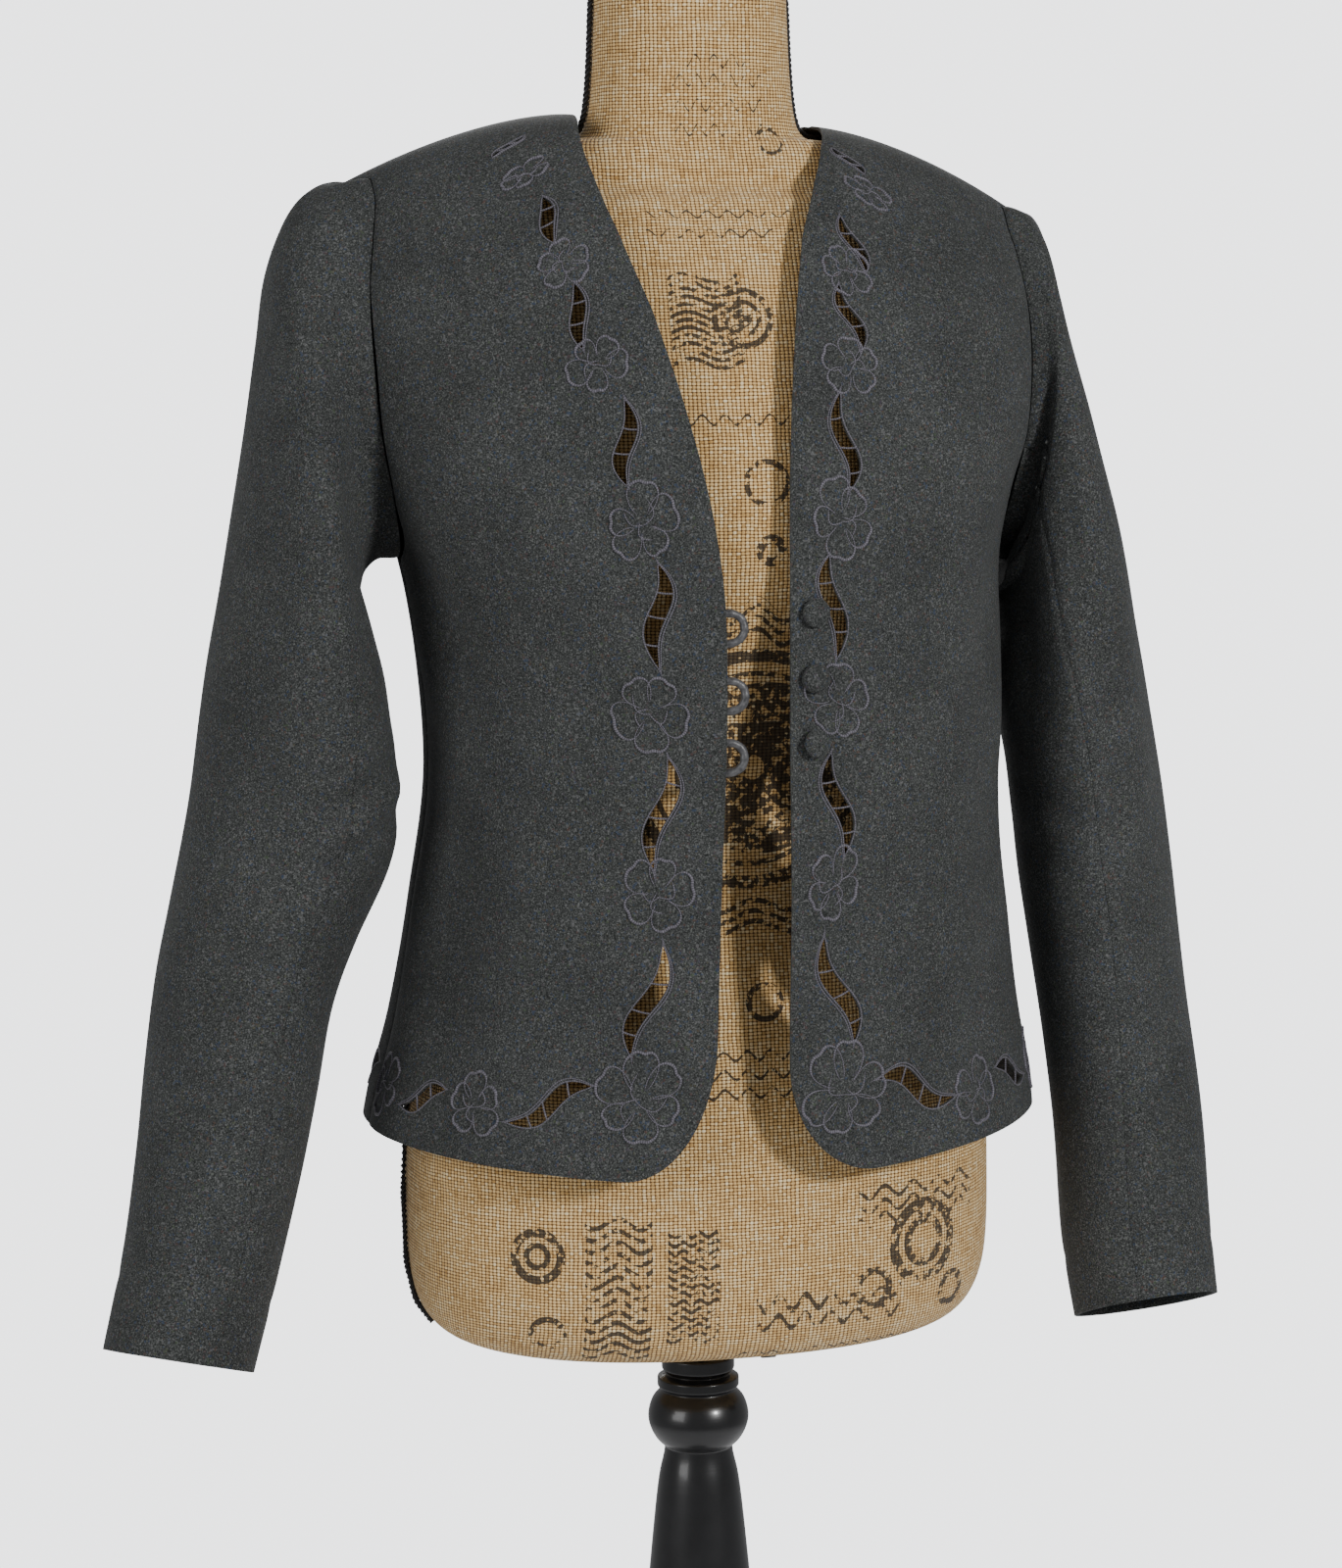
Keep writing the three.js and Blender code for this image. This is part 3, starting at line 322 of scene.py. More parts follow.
def cover_form(burlap):
    """The form's skin, with a UV map in metres that runs with the jute's threads."""
    rows = np.linspace(0, len(FORM) - 1, (len(FORM) - 1) * FORM_STEPS + 1)
    angles = np.linspace(-math.pi, math.pi, FORM_COLUMNS + 1)
    skin = form_point(angles[None, :], rows[:, None])
    around = np.cumsum(np.linalg.norm(np.diff(skin, axis=1), axis=2), axis=1)
    around = np.concatenate([np.zeros((len(rows), 1)), around], axis=1)
    around -= around[:, FORM_COLUMNS // 2][:, None]
    upward = np.linalg.norm(np.diff(skin[:, FORM_COLUMNS // 2], axis=0), axis=1)
    upward = np.concatenate([[0], np.cumsum(upward)])
    points = [(0, 0, FORM[0]["z"])] + skin[:, :-1].reshape(-1, 3).tolist()
    points.append((0, 0, FORM[-1]["z"] + 0.5))
    last = len(rows) - 1
    flat = []
    for j in range(FORM_COLUMNS):
        flat += [(around[0, j], -FORM_HEM), (around[0, j + 1], 0), (around[0, j], 0)]
    for i in range(last):
        for j in range(FORM_COLUMNS):
            corners = ((i, j), (i, j + 1), (i + 1, j + 1), (i + 1, j))
            flat += [(around[a, b], upward[a]) for a, b in corners]
    for j in range(FORM_COLUMNS):
        flat += [(around[last, j], upward[last]), (around[last, j + 1], upward[last]),
                 (around[last, j], upward[last] + NECK_HEM)]
    faces = ring_faces(len(rows), FORM_COLUMNS)
    piece = new_piece("burlap_covered_form", points, faces, burlap, ["form_body"])
    layer = piece.data.uv_layers.new(name="threads")
    layer.data.foreach_set("uv", (np.array(flat, float) * MM).ravel())


# Natural burlap: plain weave of slubby jute, thick fuzzy threads, their sides and the gaps between them
# painted with shade.
# WARP and WEFT are the threads' spacing; a faded dark brown print sits on the threads' tops.
WARP = 2.3 * MM
WEFT = 1.8 * MM
PRINT_AND_SHADE_RINGS = rows_of("u v r w", [
    # middle (across, up) from the form's base at its centre front, radius and line width, in mm
    (4, 592, 15, 1.7), (4, 592, 9, 1.2), (4, 592, 3, 2.2), (33, 700, 7, 1.1), (12, 505, 11, 1.5),
    # the broad dark rings about (8, 352) are print drawn darker, partly as painted shade beside the left
    # front
    (14, 470, 6, 2.4), (8, 352, 62, 3.4), (8, 352, 52, 1.4), (14, 352, 28, 19), (8, 352, 12, 5),
    (14, 226, 9, 1.6), (-112, 92, 13, 2.4), (-112, 92, 6, 1.6), (-106, 48, 9, 1.8), (108, 88, 21, 3.2),
    (108, 88, 12, 2.4), (132, 56, 9, 2.4), (74, 66, 10, 2.2), (240, 330, 44, 3.0), (240, 330, 28, 6),
    (-240, 420, 34, 2.6), (-240, 420, 22, 4), (330, 160, 26, 2.6), (-330, 210, 38, 3.2),
])
PRINTED_WAVES = rows_of("left right low high pitch long swing w", [
    # bands of wavy lines: their ends, lowest and highest line, distance between lines, wave
    # length, wave height and half width of a line, in mm
    (-34, 4, 568, 614, 4.2, 33, 2.6, 1.15), (-42, 44, 640, 652, 12.0, 11, 2.2, 0.6),
    (-20, 30, 706, 731, 13.0, 9, 3.0, 0.6), (-12, 20, 742, 748, 13.0, 10, 3.2, 0.6),
    (-30, 36, 538, 546, 12.0, 12, 2.6, 0.7), (-20, 34, 424, 440, 6.2, 29, 4.6, 1.5),
    (-24, 36, 266, 280, 5.6, 41, 3.2, 1.4), (-20, 44, 178, 200, 10.0, 13, 2.4, 0.9),
    (-86, -50, 34, 112, 6.4, 25, 3.0, 1.5), (-42, -14, 44, 104, 4.6, 9, 1.2, 1.2),
    (6, 92, 52, 66, 11.0, 15, 4.0, 2.0), (-2, 120, 30, 36, 9.0, 8, 1.6, 0.9),
    (64, 150, 104, 124, 7.5, 19, 3.0, 1.3),
])
LINE_MARGIN = 1.5       # mm kept round a band, so that its outer lines are whole


def burlap_weave(tree):
    """The threads map, its two axes, the weave's height and the strands' tone."""
    threads = add_node(tree, "UVMap", settings={"uv_map": "threads"}).outputs["UV"]
    split = add_node(tree, "SeparateXYZ", Vector=threads)
    wander = add_node(tree, "TexNoise", Vector=threads, Scale=45.0, Detail=2.0).outputs["Fac"]
    drift = add_node(tree, "Math SUBTRACT", wander, 0.5)
    drift = add_node(tree, "Math MULTIPLY", drift, 0.9)
    u = add_node(tree, "Math ADD", add_node(tree, "Math DIVIDE", split.outputs["X"], WARP), drift)
    v = add_node(tree, "Math ADD", add_node(tree, "Math DIVIDE", split.outputs["Y"], WEFT), drift)
    lane_u, lane_v = add_node(tree, "Math FLOOR", u), add_node(tree, "Math FLOOR", v)
    # 1 where the warp lies over the weft and -1 where it lies under it
    odd = add_node(tree, "Math PINGPONG", add_node(tree, "Math ADD", lane_u, lane_v), 1.0)
    over = add_node(tree, "Math MULTIPLY_ADD", odd, 2.0, -1.0)
    heights, strands = [], []
    for mine, other, sign, lane, axis in ((u, v, 1.0, lane_u, 0), (v, u, -1.0, lane_v, 1)):
        inside = add_node(tree, "Math MULTIPLY_ADD", add_node(tree, "Math FRACT", mine), 2.0, -1.0)
        flank = add_node(tree, "Math SUBTRACT", 1.0, add_node(tree, "Math MULTIPLY", inside, inside))
        flank = add_node(tree, "Math MAXIMUM", flank, 0.0)
        round_top = add_node(tree, "Math POWER", flank, 0.5)
        along = add_node(tree, "Math SUBTRACT", add_node(tree, "Math FRACT", other), 0.5)
        swell = add_node(tree, "Math COSINE", add_node(tree, "Math MULTIPLY", along, math.pi))
        rise = add_node(tree, "Math MULTIPLY", add_node(tree, "Math MULTIPLY", over, sign), swell)
        lift = add_node(tree, "Math MULTIPLY_ADD", rise, 0.42, 0.58)
        heights.append(add_node(tree, "Math MULTIPLY", round_top, lift))
        # each strand's tone changes slowly along it and at once from one strand to the next
        spot = add_node(tree, "CombineXYZ")
        add_node(tree, "Math MULTIPLY", lane, 7.3, to=spot.inputs[axis])
        add_node(tree, "Math MULTIPLY", other, 0.16, to=spot.inputs[1 - axis])
        tone = add_node(tree, "TexNoise", Vector=spot, Scale=1.0, Detail=2.0)
        strands.append(tone.outputs["Fac"])
    upper = add_node(tree, "Math GREATER_THAN", *heights)
    height = add_node(tree, "Math MAXIMUM", *heights)
    strand = add_node(
        tree, "Mix", settings={"data_type": "FLOAT"}, _0=upper, _2=strands[1], _3=strands[0]
    )
    return threads, split, height, strand


def print_and_shade_mask(tree, split):
    """1 where the rings and wavy lines are printed; the broad rings at the waist are partly painted shade.
    """
    u = add_node(tree, "Math DIVIDE", split.outputs["X"], MM)
    v = add_node(tree, "Math DIVIDE", split.outputs["Y"], MM)
    marks = []
    for ring in PRINT_AND_SHADE_RINGS:
        du = add_node(tree, "Math SUBTRACT", u, ring["u"])
        dv = add_node(tree, "Math SUBTRACT", v, ring["v"])
        squares = add_node(tree, "Math MULTIPLY_ADD", du, du, add_node(tree, "Math MULTIPLY", dv, dv))
        off = add_node(tree, "Math SUBTRACT", add_node(tree, "Math SQRT", squares), ring["r"])
        off = add_node(tree, "Math ABSOLUTE", off)
        marks.append(add_node(tree, "Math LESS_THAN", off, ring["w"]))
    for wave in PRINTED_WAVES:
        turns = add_node(tree, "Math MULTIPLY", u, 2 * math.pi / wave["long"])
        bend = add_node(tree, "Math SINE", turns)
        level = add_node(tree, "Math MULTIPLY_ADD", bend, -wave["swing"], v)
        from_low = add_node(tree, "Math SUBTRACT", level, wave["low"])
        off = add_node(tree, "Math PINGPONG", from_low, wave["pitch"] / 2)
        mark = add_node(tree, "Math LESS_THAN", off, wave["w"])
        low, high = wave["low"] - LINE_MARGIN, wave["high"] + LINE_MARGIN
        for place, start, end in ((u, wave["left"], wave["right"]), (level, low, high)):
            off = add_node(tree, "Math SUBTRACT", place, (start + end) / 2)
            off = add_node(tree, "Math ABSOLUTE", off)
            near = add_node(tree, "Math LESS_THAN", off, (end - start) / 2)
            mark = add_node(tree, "Math MULTIPLY", mark, near)
        marks.append(mark)
    total = marks[0]
    for mark in marks[1:]:
        total = add_node(tree, "Math MAXIMUM", total, mark)
    return total


BURLAP, tree, surface = new_finish(
    "natural_jute_burlap", Roughness=0.92, Sheen_Weight=0.12, Sheen_Roughness=0.5,
)
threads, split, height, strand = burlap_weave(tree)
jute = add_node(
    tree, "ValToRGB", Fac=strand, stops=((0.25, "#bd9252"), (0.5, "#edc787"), (0.75, "#ffeec2")),
)
# painted shade: the colour darkens down the threads' sides and into the gaps, following the weave's height
weave_shade = add_node(
    tree, "ValToRGB", Fac=height, stops=((0.28, "#1a1007"), (0.52, "#8f744d"), (0.78, "#ffffff")),
)
woven = add_node(
    tree, "Mix", settings={"data_type": "RGBA", "blend_type": "MULTIPLY"}, _0=1.0, _6=jute, _7=weave_shade,
)
worn = add_node(tree, "TexNoise", Vector=threads, Scale=260.0, Detail=3.0).outputs["Fac"]
faint = add_node(tree, "TexNoise", Vector=threads, Scale=38.0, Detail=2.0).outputs["Fac"]
left_on = add_node(tree, "Math GREATER_THAN", add_node(tree, "Math MULTIPLY_ADD", faint, 0.55, worn), 0.745)
# the print, its broad rings at the waist partly painted shade, stays where it has not worn off
kept = add_node(tree, "Math MULTIPLY", print_and_shade_mask(tree, split), left_on)
ink_and_shade_share = add_node(tree, "Math MULTIPLY", kept, 0.9)
ink_and_shade_mix = add_node(
    tree, "Mix", settings={"data_type": "RGBA"}, _0=ink_and_shade_share, _6=woven.outputs[2], _7=linear("#1d1713"),
)
tree.links.new(ink_and_shade_mix.outputs[2], surface.inputs["Base Color"])
fuzz = add_node(tree, "TexNoise", Vector=threads, Scale=1500.0, Detail=3.0).outputs["Fac"]
add_node(
    tree, "Bump", Height=add_node(tree, "Math MULTIPLY_ADD", fuzz, 0.25, height), Strength=0.8,
    Distance=0.0007, to=surface.inputs["Normal"],
)

cover_form(BURLAP)

# ------------------------------------------------------------------ piping
# A thick cord of three black rayon strands twisted together, glued over the form's side seams
# from its base across the shoulders to the neck.
PIPING_RADIUS = 1.75
PIPING_OUT = PIPING_RADIUS + 0.25   # from the form's skin to the cord's middle
STRAND_RADIUS = 0.95
TWIST_LENGTH = 9.0      # along the cord, for one full turn of the strands


def tube_tree(name, twisted):
    """Geometry Nodes that lay a tube, or three twisted strands, along a line of edges."""
    group = bpy.data.node_groups.new(name, "GeometryNodeTree")
    face = group.interface
    face.new_socket("Geometry", in_out="INPUT", socket_type="NodeSocketGeometry")
    for label in ("Width", "Height", "Twist length"):
        face.new_socket(label, in_out="INPUT", socket_type="NodeSocketFloat")
    face.new_socket("Material", in_out="INPUT", socket_type="NodeSocketMaterial")
    face.new_socket("Geometry", in_out="OUTPUT", socket_type="NodeSocketGeometry")
    given = add_node(group, "NodeGroupInput").outputs
    line = add_node(group, "GeometryNodeMeshToCurve", Mesh=given["Geometry"]).outputs[0]
    outward = add_node(
        group, "GeometryNodeInputNamedAttribute", settings={"data_type": "FLOAT_VECTOR"}, Name="outward"
    )
    line = add_node(
        group, "GeometryNodeSetCurveNormal", settings={"mode": "FREE"}, Curve=line, Normal=outward
    )
    length = add_node(group, "GeometryNodeSplineParameter").outputs["Length"]
    line = add_node(
        group, "GeometryNodeStoreNamedAttribute", settings={"data_type": "FLOAT", "domain": "POINT"},
        Geometry=line, Name="along", Value=length,
    ).outputs[0]
    ring = add_node(group, "GeometryNodeCurvePrimitiveCircle", Resolution=10, Radius=1.0).outputs[0]
    size = add_node(group, "CombineXYZ", X=given["Height"], Y=given["Width"], Z=1.0).outputs[0]
    ring = add_node(group, "GeometryNodeTransform", Geometry=ring, Scale=size).outputs[0]
    share = add_node(
        group, "GeometryNodeInputNamedAttribute", settings={"data_type": "FLOAT"}, Name="share",
    ).outputs[0]
    if twisted:
        turns = add_node(group, "Math DIVIDE", length, given["Twist length"])
        tilt = add_node(group, "Math MULTIPLY", turns, 2 * math.pi)
        line = add_node(group, "GeometryNodeSetCurveTilt", Curve=line, Tilt=tilt).outputs[0]
        strands = add_node(group, "GeometryNodeJoinGeometry")
        for turn in range(3):
            angle = turn * 2 * math.pi / 3
            aside = (math.cos(angle), math.sin(angle), 0)
            shift = add_node(group, "VectorMath SCALE", aside, Scale=given["Width"])
            add_node(
                group, "GeometryNodeTransform", Geometry=ring, Translation=shift, to=strands.inputs[0]
            )
        ring = strands.outputs[0]
    tube = add_node(
        group, "GeometryNodeCurveToMesh", Curve=line, Profile_Curve=ring, Scale=share, Fill_Caps=True
    )
    whole = add_node(group, "GeometryNodeRealizeInstances", Geometry=tube)
    soft = add_node(group, "GeometryNodeSetShadeSmooth", Geometry=whole).outputs[0]
    dressed = add_node(
        group, "GeometryNodeSetMaterial", Geometry=soft, Material=given["Material"],
    ).outputs[0]
    add_node(group, "NodeGroupOutput", Geometry=dressed)
    return group


PLAIN_TUBE = tube_tree("tube along a line", twisted=False)
TWISTED_CORD = tube_tree("twisted cord along a line", twisted=True)


def lay_tubes(name, lines, group, width, height, twist_length, material, nodes=()):
    """Tubes along several lines, each a dict of points, outward directions and width shares."""
    points, ups, wide, edges = [], [], [], []
    for line in lines:
        start = len(points)
        points += (np.asarray(line["points"], float) * MM).tolist()
        ups += np.asarray(line["outward"], float).tolist()
        wide += np.asarray(line["share"], float).tolist()
        edges += [(k, k + 1) for k in range(start, len(points) - 1)]
    mesh = bpy.data.meshes.new(name + "_line")
    mesh.from_pydata(points, edges, [])
    mesh.attributes.new("outward", "FLOAT_VECTOR", "POINT").data.foreach_set("vector", np.ravel(ups))
    mesh.attributes.new("share", "FLOAT", "POINT").data.foreach_set("value", np.ravel(wide))
    guide = bpy.data.objects.new(name + "_line", mesh)
    bpy.context.scene.collection.objects.link(guide)
    layer = guide.modifiers.new("tubes", "NODES")
    layer.node_group = group
    values = {
        "Width": width * MM, "Height": height * MM, "Twist length": twist_length * MM,
        "Material": material,
    }
    for item in group.interface.items_tree:
        if item.in_out == "INPUT" and item.name in values:
            layer[item.identifier] = values[item.name]
    ready = guide.evaluated_get(bpy.context.evaluated_depsgraph_get())
    made = bpy.data.meshes.new_from_object(ready)
    made.name = name
    bpy.data.objects.remove(guide)
    if not made.materials:
        made.materials.append(material)
    return place_mesh(name, made, nodes)


def smooth_line(points, steps):
    """A smooth curve through the points, with steps between each two."""
    points = np.asarray(points, float)
    rows = np.linspace(0, len(points) - 1, (len(points) - 1) * steps + 1)
    places = rows_of("x y z", points)
    return np.stack([column(places, axis, rows) for axis in "xyz"], axis=1)


def piping_line(side):
    """The cord's middle line, just off the form's side seam."""
    levels = [np.array([side * level["half"], 0, level["z"]], float) for level in FORM[2:-2]]
    route = []
    for start, end in zip(levels, levels[1:]):
        step = end - start
        out = np.array([side * step[2], 0, -side * step[0]]) / np.linalg.norm(step)
        route += [start + share * step + PIPING_OUT * out for share in (0.12, 0.5, 0.88)]
    return smooth_line(route, 5)


# Black rayon twist: thousands of fine glossy filaments, seen as a soft streak along each strand.
BLACK_CORD, tree, surface = new_finish("black_twisted_rayon_cord", Roughness=0.62, Sheen_Weight=0.25)
place = add_node(tree, "TexCoord").outputs["Object"]
fibres = add_node(tree, "TexNoise", Vector=place, Scale=2600.0, Detail=2.0).outputs["Fac"]
add_node(
    tree, "ValToRGB", Fac=fibres, stops=((0.3, "#08080a"), (0.75, "#26262b")),
    to=surface.inputs["Base Color"],
)
add_node(tree, "Bump", Height=fibres, Strength=0.4, Distance=0.0002, to=surface.inputs["Normal"])

for side, word in ((-1, "right"), (1, "left")):
    route = piping_line(side)
    lay_tubes(
        f"twisted_piping_{word}",
        [{"points": route, "outward": np.tile([0, 1.0, 0], (len(route), 1)), "share": np.ones(len(route))}],
        TWISTED_CORD, STRAND_RADIUS, STRAND_RADIUS, TWIST_LENGTH, BLACK_CORD,
        [f"form_piping_{word}"],
    )

# ------------------------------------------------------------------ jacket's fronts and back
# Two fronts and one back of charcoal wool flannel, cut and seamed at the shoulders and sides.
# The leaves of the border are cut out between the embroidered flowers. The fronts hang open.
TORSO = rows_of("z drop half front back shift", [
    # levels from hem to shoulder seam: half width, depths before and behind the shoulder line,
    # fall at the shoulder point and how far the level hangs to the wearer's left
    (815, 0, 191, 143, 131, 0), (850, 0, 184, 141, 127, 1), (900, 0, 172, 139, 122, 4),
    (970, 0, 163, 137, 119, 7), (1040, 0, 158, 136, 118, 9), (1100, 0, 160, 136, 120, 7),
    (1149, 0, 166, 136, 122, 3), (1185, 1, 176, 134, 121, 1), (1225, 6, 187, 129, 117, 0),
    (1270, 13, 193, 118, 109, -1), (1310, 23, 194, 103, 98, -2), (1342, 32, 191, 84, 83, -2),
    (1362, 38, 189, 64, 66, -2), (1374, 40, 187.5, 46, 48, -2), (1380.8, 41, 186.5, 25, 26, -2),
    (1383, 41, 186, 0.15, 0.15, -2),
])
TOP = len(TORSO) - 1
FRONT_EDGE = rows_of("z right left", [
    (815, 22, 19), (900, 20, 19), (980, 17, 20.5), (1060, 13.5, 20.5), (1130, 14, 20.5),
    (1180, 20.5, 21), (1230, 32, 24), (1280, 46, 30), (1320, 60, 38), (1350, 69, 50), (1370, 71, 60),
    (1383, 67, 67),
])
UNDERARM_Z = 1149
SHOULDER_Z = 1342
ARMHOLE_SCOOP = {"front": 50, "back": 46}
BACK_NECK = 58
SIDE_HEM_Z = 842
HEM_DROP = {"front": 14, "back": 6}
SIDE_SEAM_FORWARD = 0.05
CORNER_WIDTH = 50
CORNER_HEIGHT = {-1: 78, 1: 60}
SEAM = 0.08             # what is left open between two sewn edges
CLOTH = 1.7             # wool with its thin backing
FINE_ROWS = np.linspace(0, TOP, 1501)
FINE_LEVELS = column(TORSO, "z", FINE_ROWS)
ARMHOLE_LEVELS = FINE_LEVELS - column(TORSO, "drop", FINE_ROWS)


def row_at(level):
    """The fractional row of the torso's table at a height."""
    return np.interp(level, FINE_LEVELS, FINE_ROWS)


def armhole_row(share):
    """The row at a share of the way up an armhole, counted evenly round it."""
    level = UNDERARM_Z + (SHOULDER_Z - UNDERARM_Z) * (1 - np.cos(math.pi * share)) / 2
    return np.interp(level, ARMHOLE_LEVELS, FINE_ROWS)


def torso(side, angle, row):
    """Points of the undraped torso at polar angles (0 front, pi back) and rows."""
    t = np.minimum(row, TOP)
    depth = np.where(np.cos(angle) > 0, column(TORSO, "front", t), column(TORSO, "back", t))
    reach = oval_reach(column(TORSO, "half", t), depth, angle)
    x = reach * np.sin(angle)
    across = column(TORSO, "shift", t) + side * x
    skew = SHOULDER_SKEW * across / TORSO[TOP]["drop"]
    z = column(TORSO, "z", t) - column(TORSO, "drop", t) * (seam_fall(np.abs(x)) + skew)
    return np.stack([across, -reach * np.cos(angle), z], axis=-1)


def angle_across(distance, row, facing):
    """The polar angle at which a level is a distance from its own middle."""
    share = np.minimum(np.abs(distance) / column(TORSO, "half", row), 1) ** ROUNDNESS
    y = column(TORSO, facing, row) * (1 - share) ** (1 / ROUNDNESS)
    angle = np.arctan2(distance, y)
    return angle if facing == "front" else math.pi - angle


def scoop_share(row, facing):
    """The armhole's distance from the shoulder line, as a share of the level's depth."""
    rise = np.clip(
        (np.interp(row, FINE_ROWS, ARMHOLE_LEVELS) - UNDERARM_Z) / (SHOULDER_Z - UNDERARM_Z), 0, 1,
    )
    y = ARMHOLE_SCOOP[facing] * np.sqrt(np.maximum(1 - (2 * rise - 1) ** 2, 0))
    return np.minimum(y / column(TORSO, facing, row), 1)


def side_angle(row, facing):
    """Where a front or the back ends: the side seam, and above it the armhole."""
    half = column(TORSO, "half", row)
    gap = (-1 if facing == "front" else 1) * SEAM / 2 / half
    underarm = row_at(UNDERARM_Z)
    seam = math.pi / 2 - SIDE_SEAM_FORWARD * (1 - row / underarm)
    # the last stretch runs straight to the shoulder point
    near_top = armhole_row(10 / 11)
    closing = scoop_share(near_top, facing) * np.clip((TOP - row) / (TOP - near_top), 0, 1)
    share = np.where(row > near_top, closing, scoop_share(row, facing))
    y = share * column(TORSO, facing, row)
    angle = np.arctan2(half * (1 - share**ROUNDNESS) ** (1 / ROUNDNESS), y)
    angle = angle if facing == "front" else math.pi - angle
    return np.where(row <= underarm, seam, angle) + gap


def front_edge_angle(side, row):
    """Where a front's open edge lies."""
    levels = [line["z"] for line in FRONT_EDGE]
    at = np.interp(column(TORSO, "z", row), levels, np.arange(len(levels)))
    x = column(FRONT_EDGE, "right" if side < 0 else "left", at)
    return angle_across(x - side * column(TORSO, "shift", row), row, "front")


def hem_level(angle, facing):
    """The hem's height, which falls towards the middle."""
    return SIDE_HEM_Z - HEM_DROP[facing] * np.cos(angle) ** 2


CREASES = rows_of("side a0 z0 a1 z1 wide deep", [
    # soft troughs (depth above 0) and ridges of the hanging cloth, per side: start and end as
    # polar angle in degrees and level, width and depth in mm
    (-1, 82, 1165, 64, 1095, 15, 2.6), (-1, 88, 1120, 70, 1040, 17, -2.0),
    (-1, 70, 1010, 58, 872, 26, 2.4), (-1, 86, 985, 79, 842, 20, -3.2),
    (-1, 44, 1215, 38, 1085, 24, 1.5), (-1, 36, 1010, 33, 880, 22, 1.2),
    (1, 74, 1190, 56, 1075, 18, 2.8), (1, 84, 1130, 66, 1030, 16, -2.2),
    (1, 62, 1040, 54, 865, 26, 2.6), (1, 84, 975, 77, 840, 20, -3.4), (1, 40, 1260, 34, 1110, 22, 1.3),
    (1, 31, 1000, 36, 850, 24, 1.6), (-1, 100, 1160, 118, 1060, 16, 2.6),
    (-1, 112, 1040, 118, 850, 24, 2.8), (-1, 96, 1000, 99, 842, 20, -2.6),
    (-1, 150, 1075, 146, 850, 28, 3.0), (-1, 133, 1260, 150, 1120, 22, 1.8),
    (1, 103, 1170, 124, 1070, 17, 2.4), (1, 117, 1020, 121, 850, 22, 2.6),
    (1, 98, 1010, 101, 842, 21, -2.4), (1, 158, 1060, 152, 850, 26, 2.6),
    (1, 140, 1240, 128, 1130, 20, 1.6),
])
ARC = 150               # mm round the body for one radian
CALM_FROM = 1330        # level above which the cloth lies smooth, and how gently it turns so
CALM_OVER = 60
SEAM_DIP = 0.6          # depth and width of the groove that pressing leaves at a seam
SEAM_DIP_WIDTH = 2.6
PROBE = 0.004           # small step in radians or rows, to find slopes


def soft_trough(x, y, x0, y0, x1, y1, wide):
    """1 along a line, fading over its width and towards its ends."""
    run = np.array([x1 - x0, y1 - y0], float)
    length = np.hypot(*run)
    t = ((x - x0) * run[0] + (y - y0) * run[1]) / length**2
    off = np.abs((x - x0) * run[1] - (y - y0) * run[0]) / length
    ends = np.clip(np.minimum(t + 0.25, 1.25 - t) / 0.5, 0, 1)
    return np.exp(-((off / wide) ** 2)) * ends * ends * (3 - 2 * ends)


def unit(direction):
    """Directions at length 1."""
    return direction / np.maximum(np.linalg.norm(direction, axis=-1, keepdims=True), 1e-9)


def led_outward(direction, away):
    """Directions at length 1, reversed where they don't lead away."""
    return unit(direction * np.where((direction * away).sum(-1) < 0, -1, 1)[..., None])


def sway(angle, level):
    """Slow unevenness of hanging cloth, in mm."""
    s = angle * ARC
    wave = np.sin(s / 31 + level / 67 + 1.3) * np.sin(level / 43 - s / 58)
    return 0.55 * wave + 0.35 * np.sin(s / 17 + 0.7) * np.sin(level / 29 + 2.1)


def draped(side, angle, row, lift=0.0, seam_gap=None):
    """Points and outward directions of the hanging cloth. Its seamed edges dip a little."""
    side, angle, row = np.broadcast_arrays(np.asarray(side, float), angle, row)
    level = column(TORSO, "z", row)
    depth = np.zeros(angle.shape)
    for crease in CREASES:
        line = (crease["side"] * np.radians([crease["a0"], crease["a1"]])) * ARC
        here = side * angle * ARC
        trough = soft_trough(here, level, line[0], crease["z0"], line[1], crease["z1"], crease["wide"])
        depth += crease["deep"] * trough
    calm = np.clip((CALM_FROM - level) / CALM_OVER, 0, 1)
    depth = (depth + sway(side * angle, level)) * calm
    if seam_gap is not None:
        depth = depth + SEAM_DIP * np.exp(-((seam_gap / SEAM_DIP_WIDTH) ** 2))
    up = np.minimum(row + PROBE, TOP)
    across = torso(side, angle + PROBE, row) - torso(side, angle - PROBE, row)
    along = torso(side, angle, up) - torso(side, angle, row - PROBE)
    out = np.cross(across, along)
    point = torso(side, angle, row)
    away = np.stack([point[..., 0] - column(TORSO, "shift", row), point[..., 1],
                     np.where(row > TOP - 2.5, 190.0, 2.0)], axis=-1)
    out = led_outward(out, away)
    out[..., 1] *= np.clip((TOP - row) / 0.15, 0, 1)
    out = unit(out)
    return point + out * (lift - depth)[..., None], out


def torso_place(side, angle_degrees, level, u, v):
    """Polar angles and rows a short way from a place: u mm towards the side, v mm up."""
    row = row_at(level)
    angle = math.radians(angle_degrees)
    across = torso(side, angle + PROBE, row) - torso(side, angle - PROBE, row)
    upward = torso(side, angle, row + PROBE) - torso(side, angle, row - PROBE)
    wide, high = (np.linalg.norm(span) / (2 * PROBE) for span in (across, upward))
    return angle + np.asarray(u) / wide, row + np.asarray(v) / high


